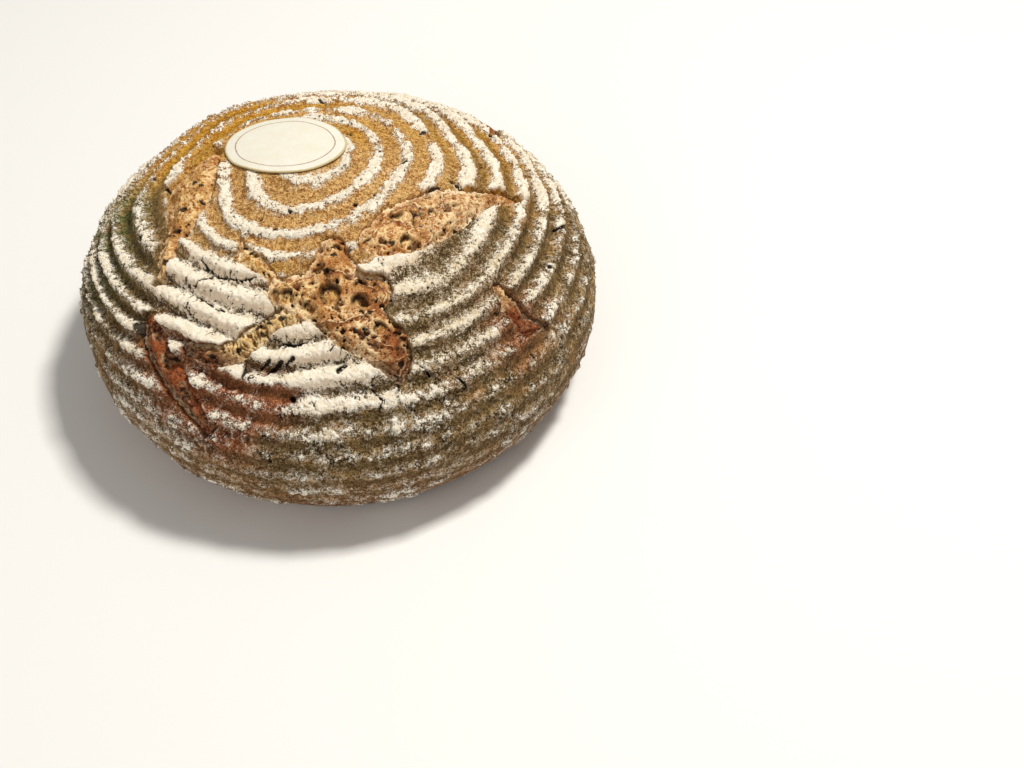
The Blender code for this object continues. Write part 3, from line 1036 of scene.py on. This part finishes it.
def flour_amount(dough):
    """How much flour lies at a point: none under 0, a closed cake above about 0.2."""
    side, low, dusting, soft = dough.side, dough.low, dough.read("dusting"), dough.read("soft")
    flour = (dough.dusted - 0.76 + side * 0.13 - dough.golden * 0.15) * (2.2 - side * 0.7) * (1 - low * 0.6)
    uneven = dough.coarse * (2.5 - side * 0.8 + low * 0.3) + dough.middling * (3.3 - side * 0.6)
    uneven = uneven + dough.fine * (2.3 - dusting * 1.2)
    even = (dough.golden + dough.read("green")).clip() * (1 - low) * 0.5
    flour = flour + uneven * (1 - even) + dusting - low * 0.42
    return flour * (1 - soft * 0.6) + soft * 0.04


def cracks(dough, flour):
    """(how open the crust is, from 0 in a crack to 1 where it is whole, depth of the cracks in metres)."""
    side, size, place, dusted = dough.side, dough.size, dough.place, dough.dusted
    crackle = cells(swayed(place, 600, 2.4 * MM), 330, "DISTANCE_TO_EDGE") * 15
    dry = (dough.read("crackled") + dough.middling * 1.6 + dough.coarse - dusted * side * 1.1).step(0.1, 0.4)
    dry = dry.most((dusted + dough.fine - side * 2 + dough.middling).step(0.6, 0.9))
    flow = swayed(dough.read("flow", "FLOAT_VECTOR"), 2.5, 1.1)
    across = cells(flow, 1.0, "DISTANCE_TO_EDGE") * 22 + 2
    across = across - (dough.middling + side * 0.06).step(0.06, 0.14) * 2
    gash = (-dough.read("gash") + dough.fine * 1.8 * MM) / (0.5 * MM) + 0.1
    split = (crackle + 1.2 - dry * 1.2).least(across) + (1 - (flour + side).step(-0.5, 0.1)) * 2
    split = split.least(gash)
    depth = (1 - split.step(0.1, 1.0)) * size["Crack Depth"] + (1 - gash.step(-1.0, 1.0)) * size["Gash Depth"]
    return split, depth


print("ridges, flour and cracks are ready")


# %% Torn edges and the whole relief
def torn_edge(dough):
    """How far past the crust's ragged torn edge a point lies, in metres."""
    ragged = noise(dough.place, 120, 3) * dough.size["Ragged Edge"] + dough.fine * 2.4 * MM
    return dough.read("tear") + dough.size["Opened"] + ragged


def lips(dough, edge):
    """The height of the edges that rolled up beside a tear, more below it than above it."""
    size, tear = dough.size, dough.read("tear")
    lip = blend(size["Upper Lip"], size["Lower Lip"], dough.read("below").step(0.0, LIP_REACH))
    fading = (tear.least(0.0) * (1 / LIP_REACH)).math("EXPONENT")
    return lip * fading + edge.step(-3.4 * MM, -0.8 * MM) * size["Rolled Edge"]


def make_crust_tree():
    tree, geometry, size = start_tree("crust relief", CRUST_SIZES)
    dough = Dough(tree, size)
    flour = flour_amount(dough)
    thickness = 0.8 + dough.fine * 2.0 + dough.crumbs * 1.6
    cake = (flour + dough.fine * 0.6).step(0.0, 0.24) * size["Flour Cake"] * thickness
    split, gap = cracks(dough, flour)
    edge = torn_edge(dough)
    grit = (dough.fine + dough.middling + dough.crumbs * 0.7) * size["Grit"]
    crust = ridges(dough) + cake + lips(dough, edge) + dough.coarse * size["Lumps"] + grit - gap

    seat = dough.read("seat")
    sunk = edge.step(-0.2 * MM, 1.2 * MM)
    raised = (crust - size["Sink"] * seat.step(0.0, 16 * MM)) * (1 - sunk) - sunk * size["Tear Wall"]
    raised = raised * seat.step(0.0, 3.0 * MM) * dough.read("hem").step(0.0, 9 * MM)
    lean = edge.step(-3.0 * MM, -0.4 * MM) * (1 - edge.step(0.1 * MM, 1.2 * MM)) * size["Overhang"]
    # positive on the lower face of each side ridge, where the finish paints shade
    face = (dough.turn * FULL_TURN).math("SINE") * dough.side * (1 - dough.low)
    # 1 in the hollows between the side ridges, where the finish paints shade
    trough = (1 - dough.dusted).step(0.35, 1.0) * dough.side
    shaped = keep(geometry, split=split, edge=edge, flour=flour, face=face, trough=trough)
    out, toward = (dough.read(name, "FLOAT_VECTOR") for name in ("out", "toward"))
    end_tree(shifted(shaped, vector_sum(scaled(out, raised), scaled(toward, lean))), crust_finish)
    return tree


crust_tree = make_crust_tree()
for slice_piece in slices:
    run_tree(slice_piece, crust_tree, CRUST_SIZES)
    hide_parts("loaf")
    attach(slice_piece, "root")
    print(slice_piece.name, len(slice_piece.data.vertices), "points")

# %% [markdown]
# ## Grains of flour
#
# Where the flour cake breaks up it leaves small lumps on the crust. They are scattered where the crust's
# relief kept flour, each a rounded grain of twenty faces with its own size and turn, half sunk in the crust.

# %% Grains of flour
LUMP_SIZES = {"Lumps Per Square Metre": 250000.0, "Smallest": 0.16 * MM, "Largest": 0.46 * MM}
LUMP_SEED = 5
LUMP_FACES = 20
LUMP_TURN = 6.28  # nearly a whole turn, in radians


def lump_share(tree):
    """Where lumps lie, from 0 to 1: on broken flour that faces out, and not in tears or near the base."""
    flour, out = read(tree, "flour"), read(tree, "out", "FLOAT_VECTOR")
    normal = Wire(tree.nodes.new("GeometryNodeInputNormal").outputs["Normal"])
    facing = make_node(tree, "ShaderNodeVectorMath", [normal, out], output="Value", operation="DOT_PRODUCT")
    share = flour.step(-0.25, 0.35) * (1 - flour.step(0.5, 1.0) * 0.6) * facing.step(0.3, 0.5)
    return share * (1 - read(tree, "edge").step(-0.4 * MM, 0.0)) * read(tree, "hem").step(0, 12 * MM)


print("lumps to a square centimetre:", LUMP_SIZES["Lumps Per Square Metre"] / 10000)


# %% Scattering the grains
def random_vector(tree, low, high, seed):
    node = tree.nodes.new("FunctionNodeRandomValue")
    node.data_type = "FLOAT_VECTOR"
    for key, value in (("Min", low), ("Max", high), ("Seed", seed)):
        plug(node.inputs[key], value)
    return Wire(next(s for s in node.outputs if s.enabled))


def make_lump_finish():
    material, place, shader = start_material("flour lumps", 0.95)
    shade = (noise(place, 600, 2) * 2.4 + 0.62).clip()
    plug(shader.inputs["Base Color"], mix(shade, FLOUR_SHADE, FLOUR_WHITE))
    return material


def make_lump_tree():
    tree, _, size = start_tree("flour lumps", LUMP_SIZES)
    join = tree.nodes.new("GeometryNodeJoinGeometry")
    for slice_piece in slices:
        crust = make_node(tree, "GeometryNodeObjectInfo", {"Object": slice_piece}, output="Geometry")
        plug(join.inputs[0], crust)
    density = lump_share(tree) * size["Lumps Per Square Metre"]
    inputs = {"Mesh": Wire(join.outputs[0]), "Density": density, "Seed": LUMP_SEED}
    spots = make_node(tree, "GeometryNodeDistributePointsOnFaces", inputs)
    ends = [make_node(tree, "ShaderNodeCombineXYZ", [size[name]] * 3) for name in ("Smallest", "Largest")]
    lumps = make_node(tree, "GeometryNodeInstanceOnPoints", {
        "Points": spots,
        "Instance": make_node(tree, "GeometryNodeMeshIcoSphere", {"Radius": 1.0, "Subdivisions": 1}),
        "Scale": random_vector(tree, *ends, LUMP_SEED),
        "Rotation": random_vector(tree, (0, 0, 0), (LUMP_TURN,) * 3, LUMP_SEED + 1),
    })
    end_tree(lumps, make_lump_finish())
    return tree


lumps = make_piece("flour_lumps", np.eye(3) * MM, [(0, 1, 2)])
run_tree(lumps, make_lump_tree(), LUMP_SIZES)
lumps.data.shade_smooth()
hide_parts("loaf")
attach(lumps, "root")
print("lumps:", len(lumps.data.polygons) // LUMP_FACES)

# %% [markdown]
# ## The crumb in the tears
#
# Where the crust gave way, stretched dough shows: orange brown, full of bubbles that burst as they baked.
# It is a sheet of its own, finer than the crust, that follows the loaf's outline a little lower, covers
# every tear and a margin round it, and is closed underneath. The crust's walls cut through it, which gives
# the sharp dark line of a real torn edge. The larger bubbles and the films that are left between them are
# placed one by one, and broad strokes say where the crumb is calm, golden, pale or in the red shade.

# %% Bubbles, films and strokes in the crumb
BUBBLES = [
    (65, 274.5, 4.8), (69, 284.5, 3.6), (67, 260, 2.7), (67, 255, 2.2), (70, 267, 1.8), (62, 286, 3.0),
    (64, 291, 1.9), (55, 273, 1.2), (61, 268, 1.6), (44, 278, 1.9), (48, 276, 1.0), (81, 289, 3.0),
    (85, 293, 2.0), (88, 294, 1.9), (82, 285, 1.5), (97, 292, 1.4), (38, 318, 3.2), (44, 327, 2.8),
    (43, 294, 1.9), (50, 312, 3.2), (48, 305, 1.2), (47, 334, 2.2), (54, 345, 2.0), (62, 356, 2.2),
    (56, 176, 1.6), (64, 179, 1.0), (58, 184, 1.3), (56, 197, 1.6), (63, 198, 1.3), (69, 206, 1.4),
    (79, 214, 1.3), (55, 187, 0.9), (50, 189, 1.0), (53, 234, 1.2), (54, 241, 1.5), (54, 238, 0.8),
    (108, 235.5, 3.3), (105, 236, 1.2), (116, 241, 2.2), (81, 254, 1.2), (79, 256.5, 1.0), (76, 260, 1.2),
    (98, 245, 1.1), (84, 256, 1.0), (92, 251, 1.1), (112, 58, 2.6), (105, 50, 1.4), (118, 64, 1.3),
    (104, 326, 1.6),
]
MEMBRANE_WIDTH = 0.3
MEMBRANES = [
    [(60, 262), (55, 270), (57, 282), (66, 290)], [(60, 252), (65, 249), (69, 254)],
    [(71, 260), (76, 268), (77, 279), (73, 289)], [(61, 291), (68, 294), (75, 290)],
    [(79, 281), (84, 285), (90, 291)], [(35, 311), (34, 322), (39, 332), (47, 333)],
    [(42, 298), (38, 307), (42, 317)], [(53, 299), (57, 311), (54, 324)],
    [(49, 338), (46, 350), (51, 358)], [(92, 284), (95, 290), (94, 296)],
    [(100, 234), (106, 231), (112, 235)], [(103, 239), (110, 240), (116, 237)],
]
CRUMB_STROKES = {
    "calm": [
        (54, 240, 11, 1.1), (60, 190, 16, 1.0), (76, 208, 14, 0.8), (45, 190, 14, 1.0), (40, 318, 12, 0.4),
        (56, 348, 14, 0.5),
    ],
    "gilt": [
        (54, 240, 12, 1.0), (66, 262, 10, 0.5), (82, 246, 16, 0.4), (60, 190, 20, 0.6), (48, 335, 10, 0.4),
    ],
    "pale": [
        (50, 330, 16, 0.9), (60, 352, 16, 0.8), (86, 288, 16, 1.3), (58, 290, 9, 0.5), (70, 262, 12, 0.5),
    ],
    "shaded": [
        (87, 296, 9, 1.1), (94, 293, 8, 0.9), (71, 292, 6, 0.5), (77, 260, 6, 0.4),
    ],
}
WANDER = 0.24 * MM


def wandered(places):
    """Places pushed about by a few crossing waves, so that round things come out uneven."""
    x, y = places.T / MM
    push_x = np.sin(0.9 * y + 0.4 * x) + 0.6 * np.sin(2.1 * y - 1.3 * x)
    push_y = np.sin(0.8 * x - 0.5 * y) + 0.6 * np.sin(1.9 * x + 1.1 * y)
    return places + WANDER * np.column_stack([push_x, push_y])


def membrane_field(places):
    """1 on the long curved films that are left standing between bubbles, 0 off them."""
    lines = [[(arc, azimuth, MEMBRANE_WIDTH) for arc, azimuth in line] for line in MEMBRANES]
    return smooth_step(nearest_chain(wandered(places), lines)[0], -0.5 * MM, 0.1 * MM)


def band(share, middle, width):
    """1 at a share of the bubble's radius, fading to 0 on both sides of it."""
    return np.exp(-(((share - middle) / width) ** 2))


def bubble_fields(places):
    """Depth in metres, painted shade up to 1 on the wall, most on the crown's side, and 1 on the rim, as
    named values.
    """
    hollow, wall, rim = np.zeros((3, len(places)))
    places = wandered(places)
    for arc, azimuth, radius in BUBBLES:
        offset = (places - on_map(arc * MM, azimuth)) / (radius * MM)
        share = np.hypot(*offset.T)
        # under is 1 on the crown's side of a bubble, where its wall sinks deeper and gets the most painted
        # shade
        under = np.clip(0.45 - 0.65 * (offset @ on_map(1.0, azimuth)), 0.12, 1)
        depth = min(radius, 1.2 + 0.5 * radius) * MM * (0.6 + 0.7 * under)
        hollow = np.maximum(hollow, np.sqrt(np.clip(1 - share**3, 0, 1)) * depth)
        wall = np.maximum(wall, band(share, 0.78, 0.20) * under if radius > 1.4 else share < 1)
        rim = np.maximum(rim, band(share, 1.12, 0.12))
        if radius > 2.1:
            rim = np.maximum(rim, band(share, 1.42, 0.07) * under)
    return {"hollow": hollow, "wall": wall, "rim": rim}


print(len(BUBBLES), "bubbles and", len(MEMBRANES), "films")

# %% Crumb sheets
CRUMB_STEP = 0.48 * MM
CRUMB_MARGIN = 5.0 * MM
CRUMB_DEPTH = 8.0 * MM
MAP_HALF = 135 * MM


def crumb_grid():
    """(map places, faces) of square sheets that cover every tear and a margin under the crust."""
    side = int(2 * MAP_HALF / CRUMB_STEP) + 1
    line = (np.arange(side) - side // 2) * CRUMB_STEP
    grid = np.stack(np.meshgrid(line, line, indexing="ij"), axis=-1).reshape(-1, 2)
    covered = (nearest_chain(grid, TEARS.values())[0] > -CRUMB_MARGIN).reshape(side, side)
    whole = covered[:-1, :-1] & covered[1:, :-1] & covered[1:, 1:] & covered[:-1, 1:]
    i, j = np.nonzero(whole)
    corner = i * side + j
    corners = np.column_stack([corner, corner + side, corner + side + 1, corner + 1])
    used, faces = np.unique(corners, return_inverse=True)
    return grid[used], faces.reshape(-1, 4)


def close_sheet(points, under, faces):
    """Adds a lower sheet and a wall round the rim to an open sheet: (all points, all faces)."""
    count = len(points)
    forward = np.concatenate([faces[:, [k, (k + 1) % 4]] for k in range(4)])
    keys = set(map(tuple, forward.tolist()))
    rim = [(a, b) for a, b in keys if (b, a) not in keys]
    walls = [(b, a, a + count, b + count) for a, b in sorted(rim)]
    lower = (faces[:, ::-1] + count).tolist()
    return np.vstack([points, under]), faces.tolist() + lower + walls


def make_crumb():
    places, faces = crumb_grid()
    arc, azimuth = from_map(places)
    sheets = close_sheet(loaf_points(arc, azimuth), loaf_points(arc, azimuth, -CRUMB_DEPTH), faces)
    crumb = make_piece("torn_crumb", *sheets)
    both = np.vstack([places, places])
    low = smooth_step(np.hypot(*both.T), 88 * MM, 100 * MM)
    strand, strand_along, _ = chain_fields(both, TEARS["stretched tear"])
    _, low_along, _ = chain_fields(both, TEARS["low tear"])
    fields = {
        "tear": nearest_chain(both, TEARS.values())[0], "low": low, "membrane": membrane_field(both),
        "strand": smooth_step(strand, -2 * MM, 0.5 * MM),
        "along": np.where(low < 0.5, strand_along, low_along),
        "upper": np.repeat([1.0, 0.0], len(places)), "out": np.tile(outward(arc, azimuth), (2, 1)),
    }
    fields.update(bubble_fields(both))
    fields.update({field: blobs(both, table) for field, table in CRUMB_STROKES.items()})
    for field, values in fields.items():
        store(crumb, field, values)
    return crumb


crumb = make_crumb()
print("crumb:", len(crumb.data.polygons), "faces")

# %% Crumb finish
CRUMB_PAIRS = {
    "orange": ((0.29, 0.078, 0.01), (0.93, 0.51, 0.17)),
    "gold": ((0.36, 0.145, 0.016), (0.98, 0.69, 0.25)),
    "red": ((0.055, 0.008, 0.003), (0.36, 0.105, 0.036)),
    "strand": ((0.48, 0.22, 0.04), (1.0, 0.8, 0.42)),
}
# pale cream of the thin films: partly their own colour, partly a painted highlight on their tops
FILM_HIGHLIGHT = (1.0, 0.78, 0.42)
FLOURY = (0.94, 0.80, 0.57)
RIND = (0.30, 0.075, 0.016)
# painted shade for the crumb's deeper pits
PIT_SHADE = (0.10, 0.035, 0.010)
# near black painted shade for the bubble walls, the pores and tiny holes
HOLE_SHADE = (0.022, 0.010, 0.006)


def make_crumb_finish():
    material, place, shader = start_material("torn crumb", 0.62)
    names = ("pit", "wall", "film", "low", "strand", "tear", "membrane", "shaded")
    pit, wall, film, low, strand, tear, membrane, shaded = (kept(place, name) for name in names)
    grain, crumbly, patch = noise(place, 1700, 2, 0.7), noise(place, 520, 3, 0.65), noise(place, 130, 2)
    speckle = (grain * 3.0 + crumbly * 3.2 + patch * 1.6 + film * 0.3 + 0.30).clip()
    shade = {name: mix(speckle, *pair) for name, pair in CRUMB_PAIRS.items()}

    gilded = (patch * 3.0 + strand + kept(place, "gilt") + kept(place, "hollow") * 260 + 0.05).clip()
    # darker red brown low down and, where the shaded strokes lie under the crust's walls, painted shade
    red_and_shaded = low.most((shaded + patch * 2.0).clip() * 0.85)
    lines = (film + crumbly * 2.0).clip()
    dull = patch.step(-0.08, 0.1) * (1 - strand)
    border = 1 - (tear + patch * 5 * MM).step(-1.0 * MM, 3.0 * MM)
    floury = border * 0.8 + kept(place, "pale") * 0.5 + crumbly * 2.6 + grain * 2.0 - shaded - 0.32
    # tiny dark spots painted as the shade in tiny holes; only the bump sinks them
    tiny = (1 - cells(place, 430).step(0.13, 0.24)) * patch.step(-0.12, 0.1)
    surface = painted(
        shade["orange"], (gilded, shade["gold"]), (strand, shade["strand"]), (red_and_shaded, shade["red"]),
        (lines * dull * 0.8, RIND),
        # painted highlight, partly the films' own pale colour: film lines and membrane tops are painted pale
        # cream
        (lines * (1 - dull) * (1 - low * 0.6) * (0.75 - strand * 0.45), FILM_HIGHLIGHT),
        ((membrane + crumbly).step(0.05, 0.4) * 0.75, RIND),
        ((membrane + crumbly).step(0.75, 1.0) * 0.8 * (1 - low), FILM_HIGHLIGHT),
        (floury.clip() * (1 - low * 0.5), FLOURY),
        # painted shade: the deeper a pit, and the gaps between the strands, the darker it is painted
        ((pit - strand * 0.4 * MM + crumbly * 0.8 * MM).step(0.5 * MM, 1.4 * MM) * 0.85, PIT_SHADE),
        # painted shade: bubble walls, pores and tiny holes are painted near black
        ((wall * 1.5 + crumbly * 0.8 - 0.15).clip() * 0.95, HOLE_SHADE),
        (kept(place, "pore").step(0.3, 0.7) * 0.95, HOLE_SHADE),
        (tiny * 0.85, HOLE_SHADE),
    )
    finish_with(shader, surface, grain * 0.7 + crumbly * 1.4 - tiny * 1.4, 0.6 * MM)
    return material


crumb_finish = make_crumb_finish()
print("finish:", crumb_finish.name)

# %% [markdown]
# ## The relief of the crumb
#
# The crumb rises from the tear's edges to its middle. A web of burst bubbles in two sizes, round pores and
# the bubbles that were placed by hand sink into it, and thin films stand on the rims between them. In the
# stretched tear the dough drew out into strands across the gap, and low down into long fibres along it.

# %% Webs and pores
CRUMB_SIZES = {
    "Edge Depth": 3.2 * MM,
    "Rise": 3.2 * MM,
    "Rise Reach": 6.0 * MM,
    "Big Bubbles": 2.1 * MM,
    "Small Bubbles": 0.9 * MM,
    "Pores": 1.8 * MM,
    "Roughness": 0.8 * MM,
    "Film Height": 0.45 * MM,
    "Membrane": 1.0 * MM,
    "Proud Strands": 1.2 * MM,
    "Strand Pitch": 1.9 * MM,
    "Strand Reach": 7.0 * MM,
    "Strand Height": 1.5 * MM,
    "Fibre Length": 9.0 * MM,
    "Fibre Pitch": 1.3 * MM,
}


def drawn(place, scale):
    """A number from 0 to 1 for each cell of a pattern, drawn by the pattern itself."""
    return make_node(place.tree, "ShaderNodeSeparateXYZ", [cells(place, scale, output="Color")])


def web(place, scale, sway, shallow):
    """(depth, membrane), each from 0 to 1, of a web of burst bubbles, where a share stays shallow."""
    bent = swayed(place, scale * 1.3, sway)
    rim = cells(bent, scale, "DISTANCE_TO_EDGE")
    return rim.step(0.02, 0.34) * drawn(bent, scale).step(shallow, 1.0), 1 - rim.step(0.02, 0.10)


def pores(place, scale, radius, share):
    """1 inside round pores, where only a share of the pattern's cells has one."""
    bent = swayed(place, scale * 1.5, 0.6 / scale)
    present = (drawn(bent, scale) - 1 + share).step(-0.02, 0.02)
    return (1 - cells(bent, scale).step(radius * 0.75, radius)) * present


def threads(along, tear, width):
    """1 on the thin lines of a pattern that is drawn out along one of two directions."""
    place = make_node(along.tree, "ShaderNodeCombineXYZ", [along, tear, 0.0])
    return 1 - cells(place, 1.0, "DISTANCE_TO_EDGE").step(*width)


print("webs and pores are ready")


# %% Crumb relief
def make_crumb_tree():
    tree, geometry, size = start_tree("crumb relief", CRUMB_SIZES)
    place = point_place(tree)
    names = ("tear", "upper", "hollow", "rim", "strand", "along", "low", "calm", "gilt", "membrane")
    fields = (read(tree, name) for name in names)
    tear, upper, hollow, rim, strand, along, low, calm, gilt, membrane = fields

    level = size["Rise"] * (tear / size["Rise Reach"]).step(0.0, 1.0) - size["Edge Depth"]
    rough = noise(place, 150, 3) * 2.0 * size["Roughness"] + noise(place, 520, 3) * size["Roughness"]
    big, big_film = web(place, 210, 6 * MM, 0.45)
    small, small_film = web(place, 520, 2.5 * MM, 0.45)
    strand_along = along / size["Strand Pitch"] + noise(place, 200) * 2.2
    strands = threads(strand_along, tear / size["Strand Reach"], (0.06, 0.22))
    fibre_along = along / size["Fibre Length"] + noise(place, 120) * 0.8
    fibres = threads(fibre_along, tear / size["Fibre Pitch"] + noise(place, 90) * 3.0, (0.02, 0.12))

    calm = (calm + low * 0.8).clip()
    burst = (big * size["Big Bubbles"] + small * size["Small Bubbles"]) * (1 - strand) * (1 - calm * 0.8)
    pit = burst + (1 - strands) * strand * size["Strand Height"]
    pore = pores(place, 230, 0.28, 0.45).most(pores(place, 420, 0.30, 0.35)) * (1 - strand) * (1 - low * 0.9)
    film = (big_film.most(small_film * 0.7) * (1 - strand) + strands * strand).most(rim)
    film = film * (1 - low) + fibres * low
    raised = level + rough * (1 - calm * 0.5) - pit - hollow - pore * size["Pores"]
    raised = raised + film * size["Film Height"] + membrane * size["Membrane"]
    raised = raised + (strand + gilt).clip() * size["Proud Strands"]
    shaped = keep(geometry, pit=pit, film=film, pore=pore)
    end_tree(shifted(shaped, scaled(read(tree, "out", "FLOAT_VECTOR"), raised * upper)), crumb_finish)
    return tree


run_tree(crumb, make_crumb_tree(), CRUMB_SIZES)
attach(crumb, "root")
print("crumb:", len(crumb.data.vertices), "points")

# %% [markdown]
# ## The wafer
#
# A thin oval of starch and rice paper, cut with a die and laid on the dough before baking, so that it
# follows the crown. Its face is plain but for a thin printed oval line near the edge.

# %% Wafer
WAFER_THICKNESS = 0.75 * MM
WAFER_GAP = 0.35 * MM
WAFER_ROUND = 0.25 * MM
WAFER_COCKLE = 0.22 * MM
WAFER_COLUMNS = 160
MIDDLE_SHARE = 0.06


def wafer_rows():
    """(share of the half axes, height over the seat): down the face, over the edge, and back below."""
    face = [(share, WAFER_THICKNESS) for share in np.linspace(MIDDLE_SHARE, 0.97, 26)]
    roll = [(0.975 + 0.025 * math.sin(a), WAFER_THICKNESS - WAFER_ROUND * (1 - math.cos(a)))
            for a in np.linspace(0.4, math.pi / 2, 4)]
    under = [(1.0, WAFER_ROUND * 0.6), (0.985, 0.0)]
    under += [(share, 0.0) for share in np.linspace(0.94, MIDDLE_SHARE, 12)]
    return [(0.0, WAFER_THICKNESS), *face, *roll, *under, (0.0, 0.0)]


def wafer_points(share, height):
    """One ring of the wafer, or its middle point where the share is 0."""
    angle = FULL_TURN * np.arange(WAFER_COLUMNS if share else 1) / WAFER_COLUMNS
    wavy = share * (1 + 0.007 * np.sin(3 * angle + 1) + 0.004 * np.sin(8 * angle))
    along, across = WAFER_HALF_LENGTH * np.cos(angle) * wavy, WAFER_HALF_WIDTH * np.sin(angle) * wavy
    turned = [along * WAFER_COSINE - across * WAFER_SINE, along * WAFER_SINE + across * WAFER_COSINE]
    cockle = WAFER_COCKLE * share**3 * (1 + np.sin(4 * angle + 2) + 0.5 * np.sin(9 * angle))
    return loaf_points(*from_map(WAFER_MIDDLE + np.column_stack(turned)), WAFER_GAP + height + cockle)


def wafer_faces(row_count):
    """Quads between rings, and a fan of triangles round the middle point of either side."""
    last = 1 + (row_count - 2) * WAFER_COLUMNS
    faces = []
    for k in range(WAFER_COLUMNS):
        after = (k + 1) % WAFER_COLUMNS
        faces.append((0, 1 + k, 1 + after))
        for first in range(1, last - WAFER_COLUMNS, WAFER_COLUMNS):
            second = first + WAFER_COLUMNS
            faces.append((first + k, second + k, second + after, first + after))
        faces.append((last - WAFER_COLUMNS + k, last, last - WAFER_COLUMNS + after))
    return faces


print("rings in the wafer:", len(wafer_rows()) - 2)

# %% Wafer's finish
WAFER_WHITE = (0.78, 0.775, 0.72)
WAFER_CREAM = (0.72, 0.67, 0.52)
WAFER_EDGE = (0.50, 0.40, 0.19)
PRINT_BROWN = (0.30, 0.16, 0.09)
LINE_STARTS = (0.80, 0.806)
LINE_ENDS = (0.822, 0.828)


def make_wafer_finish():
    material, place, shader = start_material("rice wafer", 0.75)
    share, grain, patch = kept(place, "share"), noise(place, 900, 3), noise(place, 160, 2)
    inked = share + grain * 0.006
    line = inked.step(*LINE_STARTS) * (1 - inked.step(*LINE_ENDS))
    surface = painted(
        mix((patch * 1.6 + grain * 1.5 + 0.5).clip() * 0.5, WAFER_WHITE, WAFER_CREAM),
        ((share + grain * 0.03).step(0.955, 0.985) * 0.9, WAFER_EDGE),
        (line * (0.75 + grain), PRINT_BROWN),
    )
    finish_with(shader, surface, grain + patch, 0.12 * MM)
    return material


rows = wafer_rows()
rings = [wafer_points(*row) for row in rows]
wafer = make_piece("wafer", np.vstack(rings), wafer_faces(len(rows)))
store(wafer, "share", np.concatenate([np.full(len(ring), share) for ring, (share, _) in zip(rings, rows)]))
wafer.data.materials.append(make_wafer_finish())
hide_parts("wafer_label")
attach(wafer, "root")
print("wafer:", len(wafer.data.polygons), "faces")
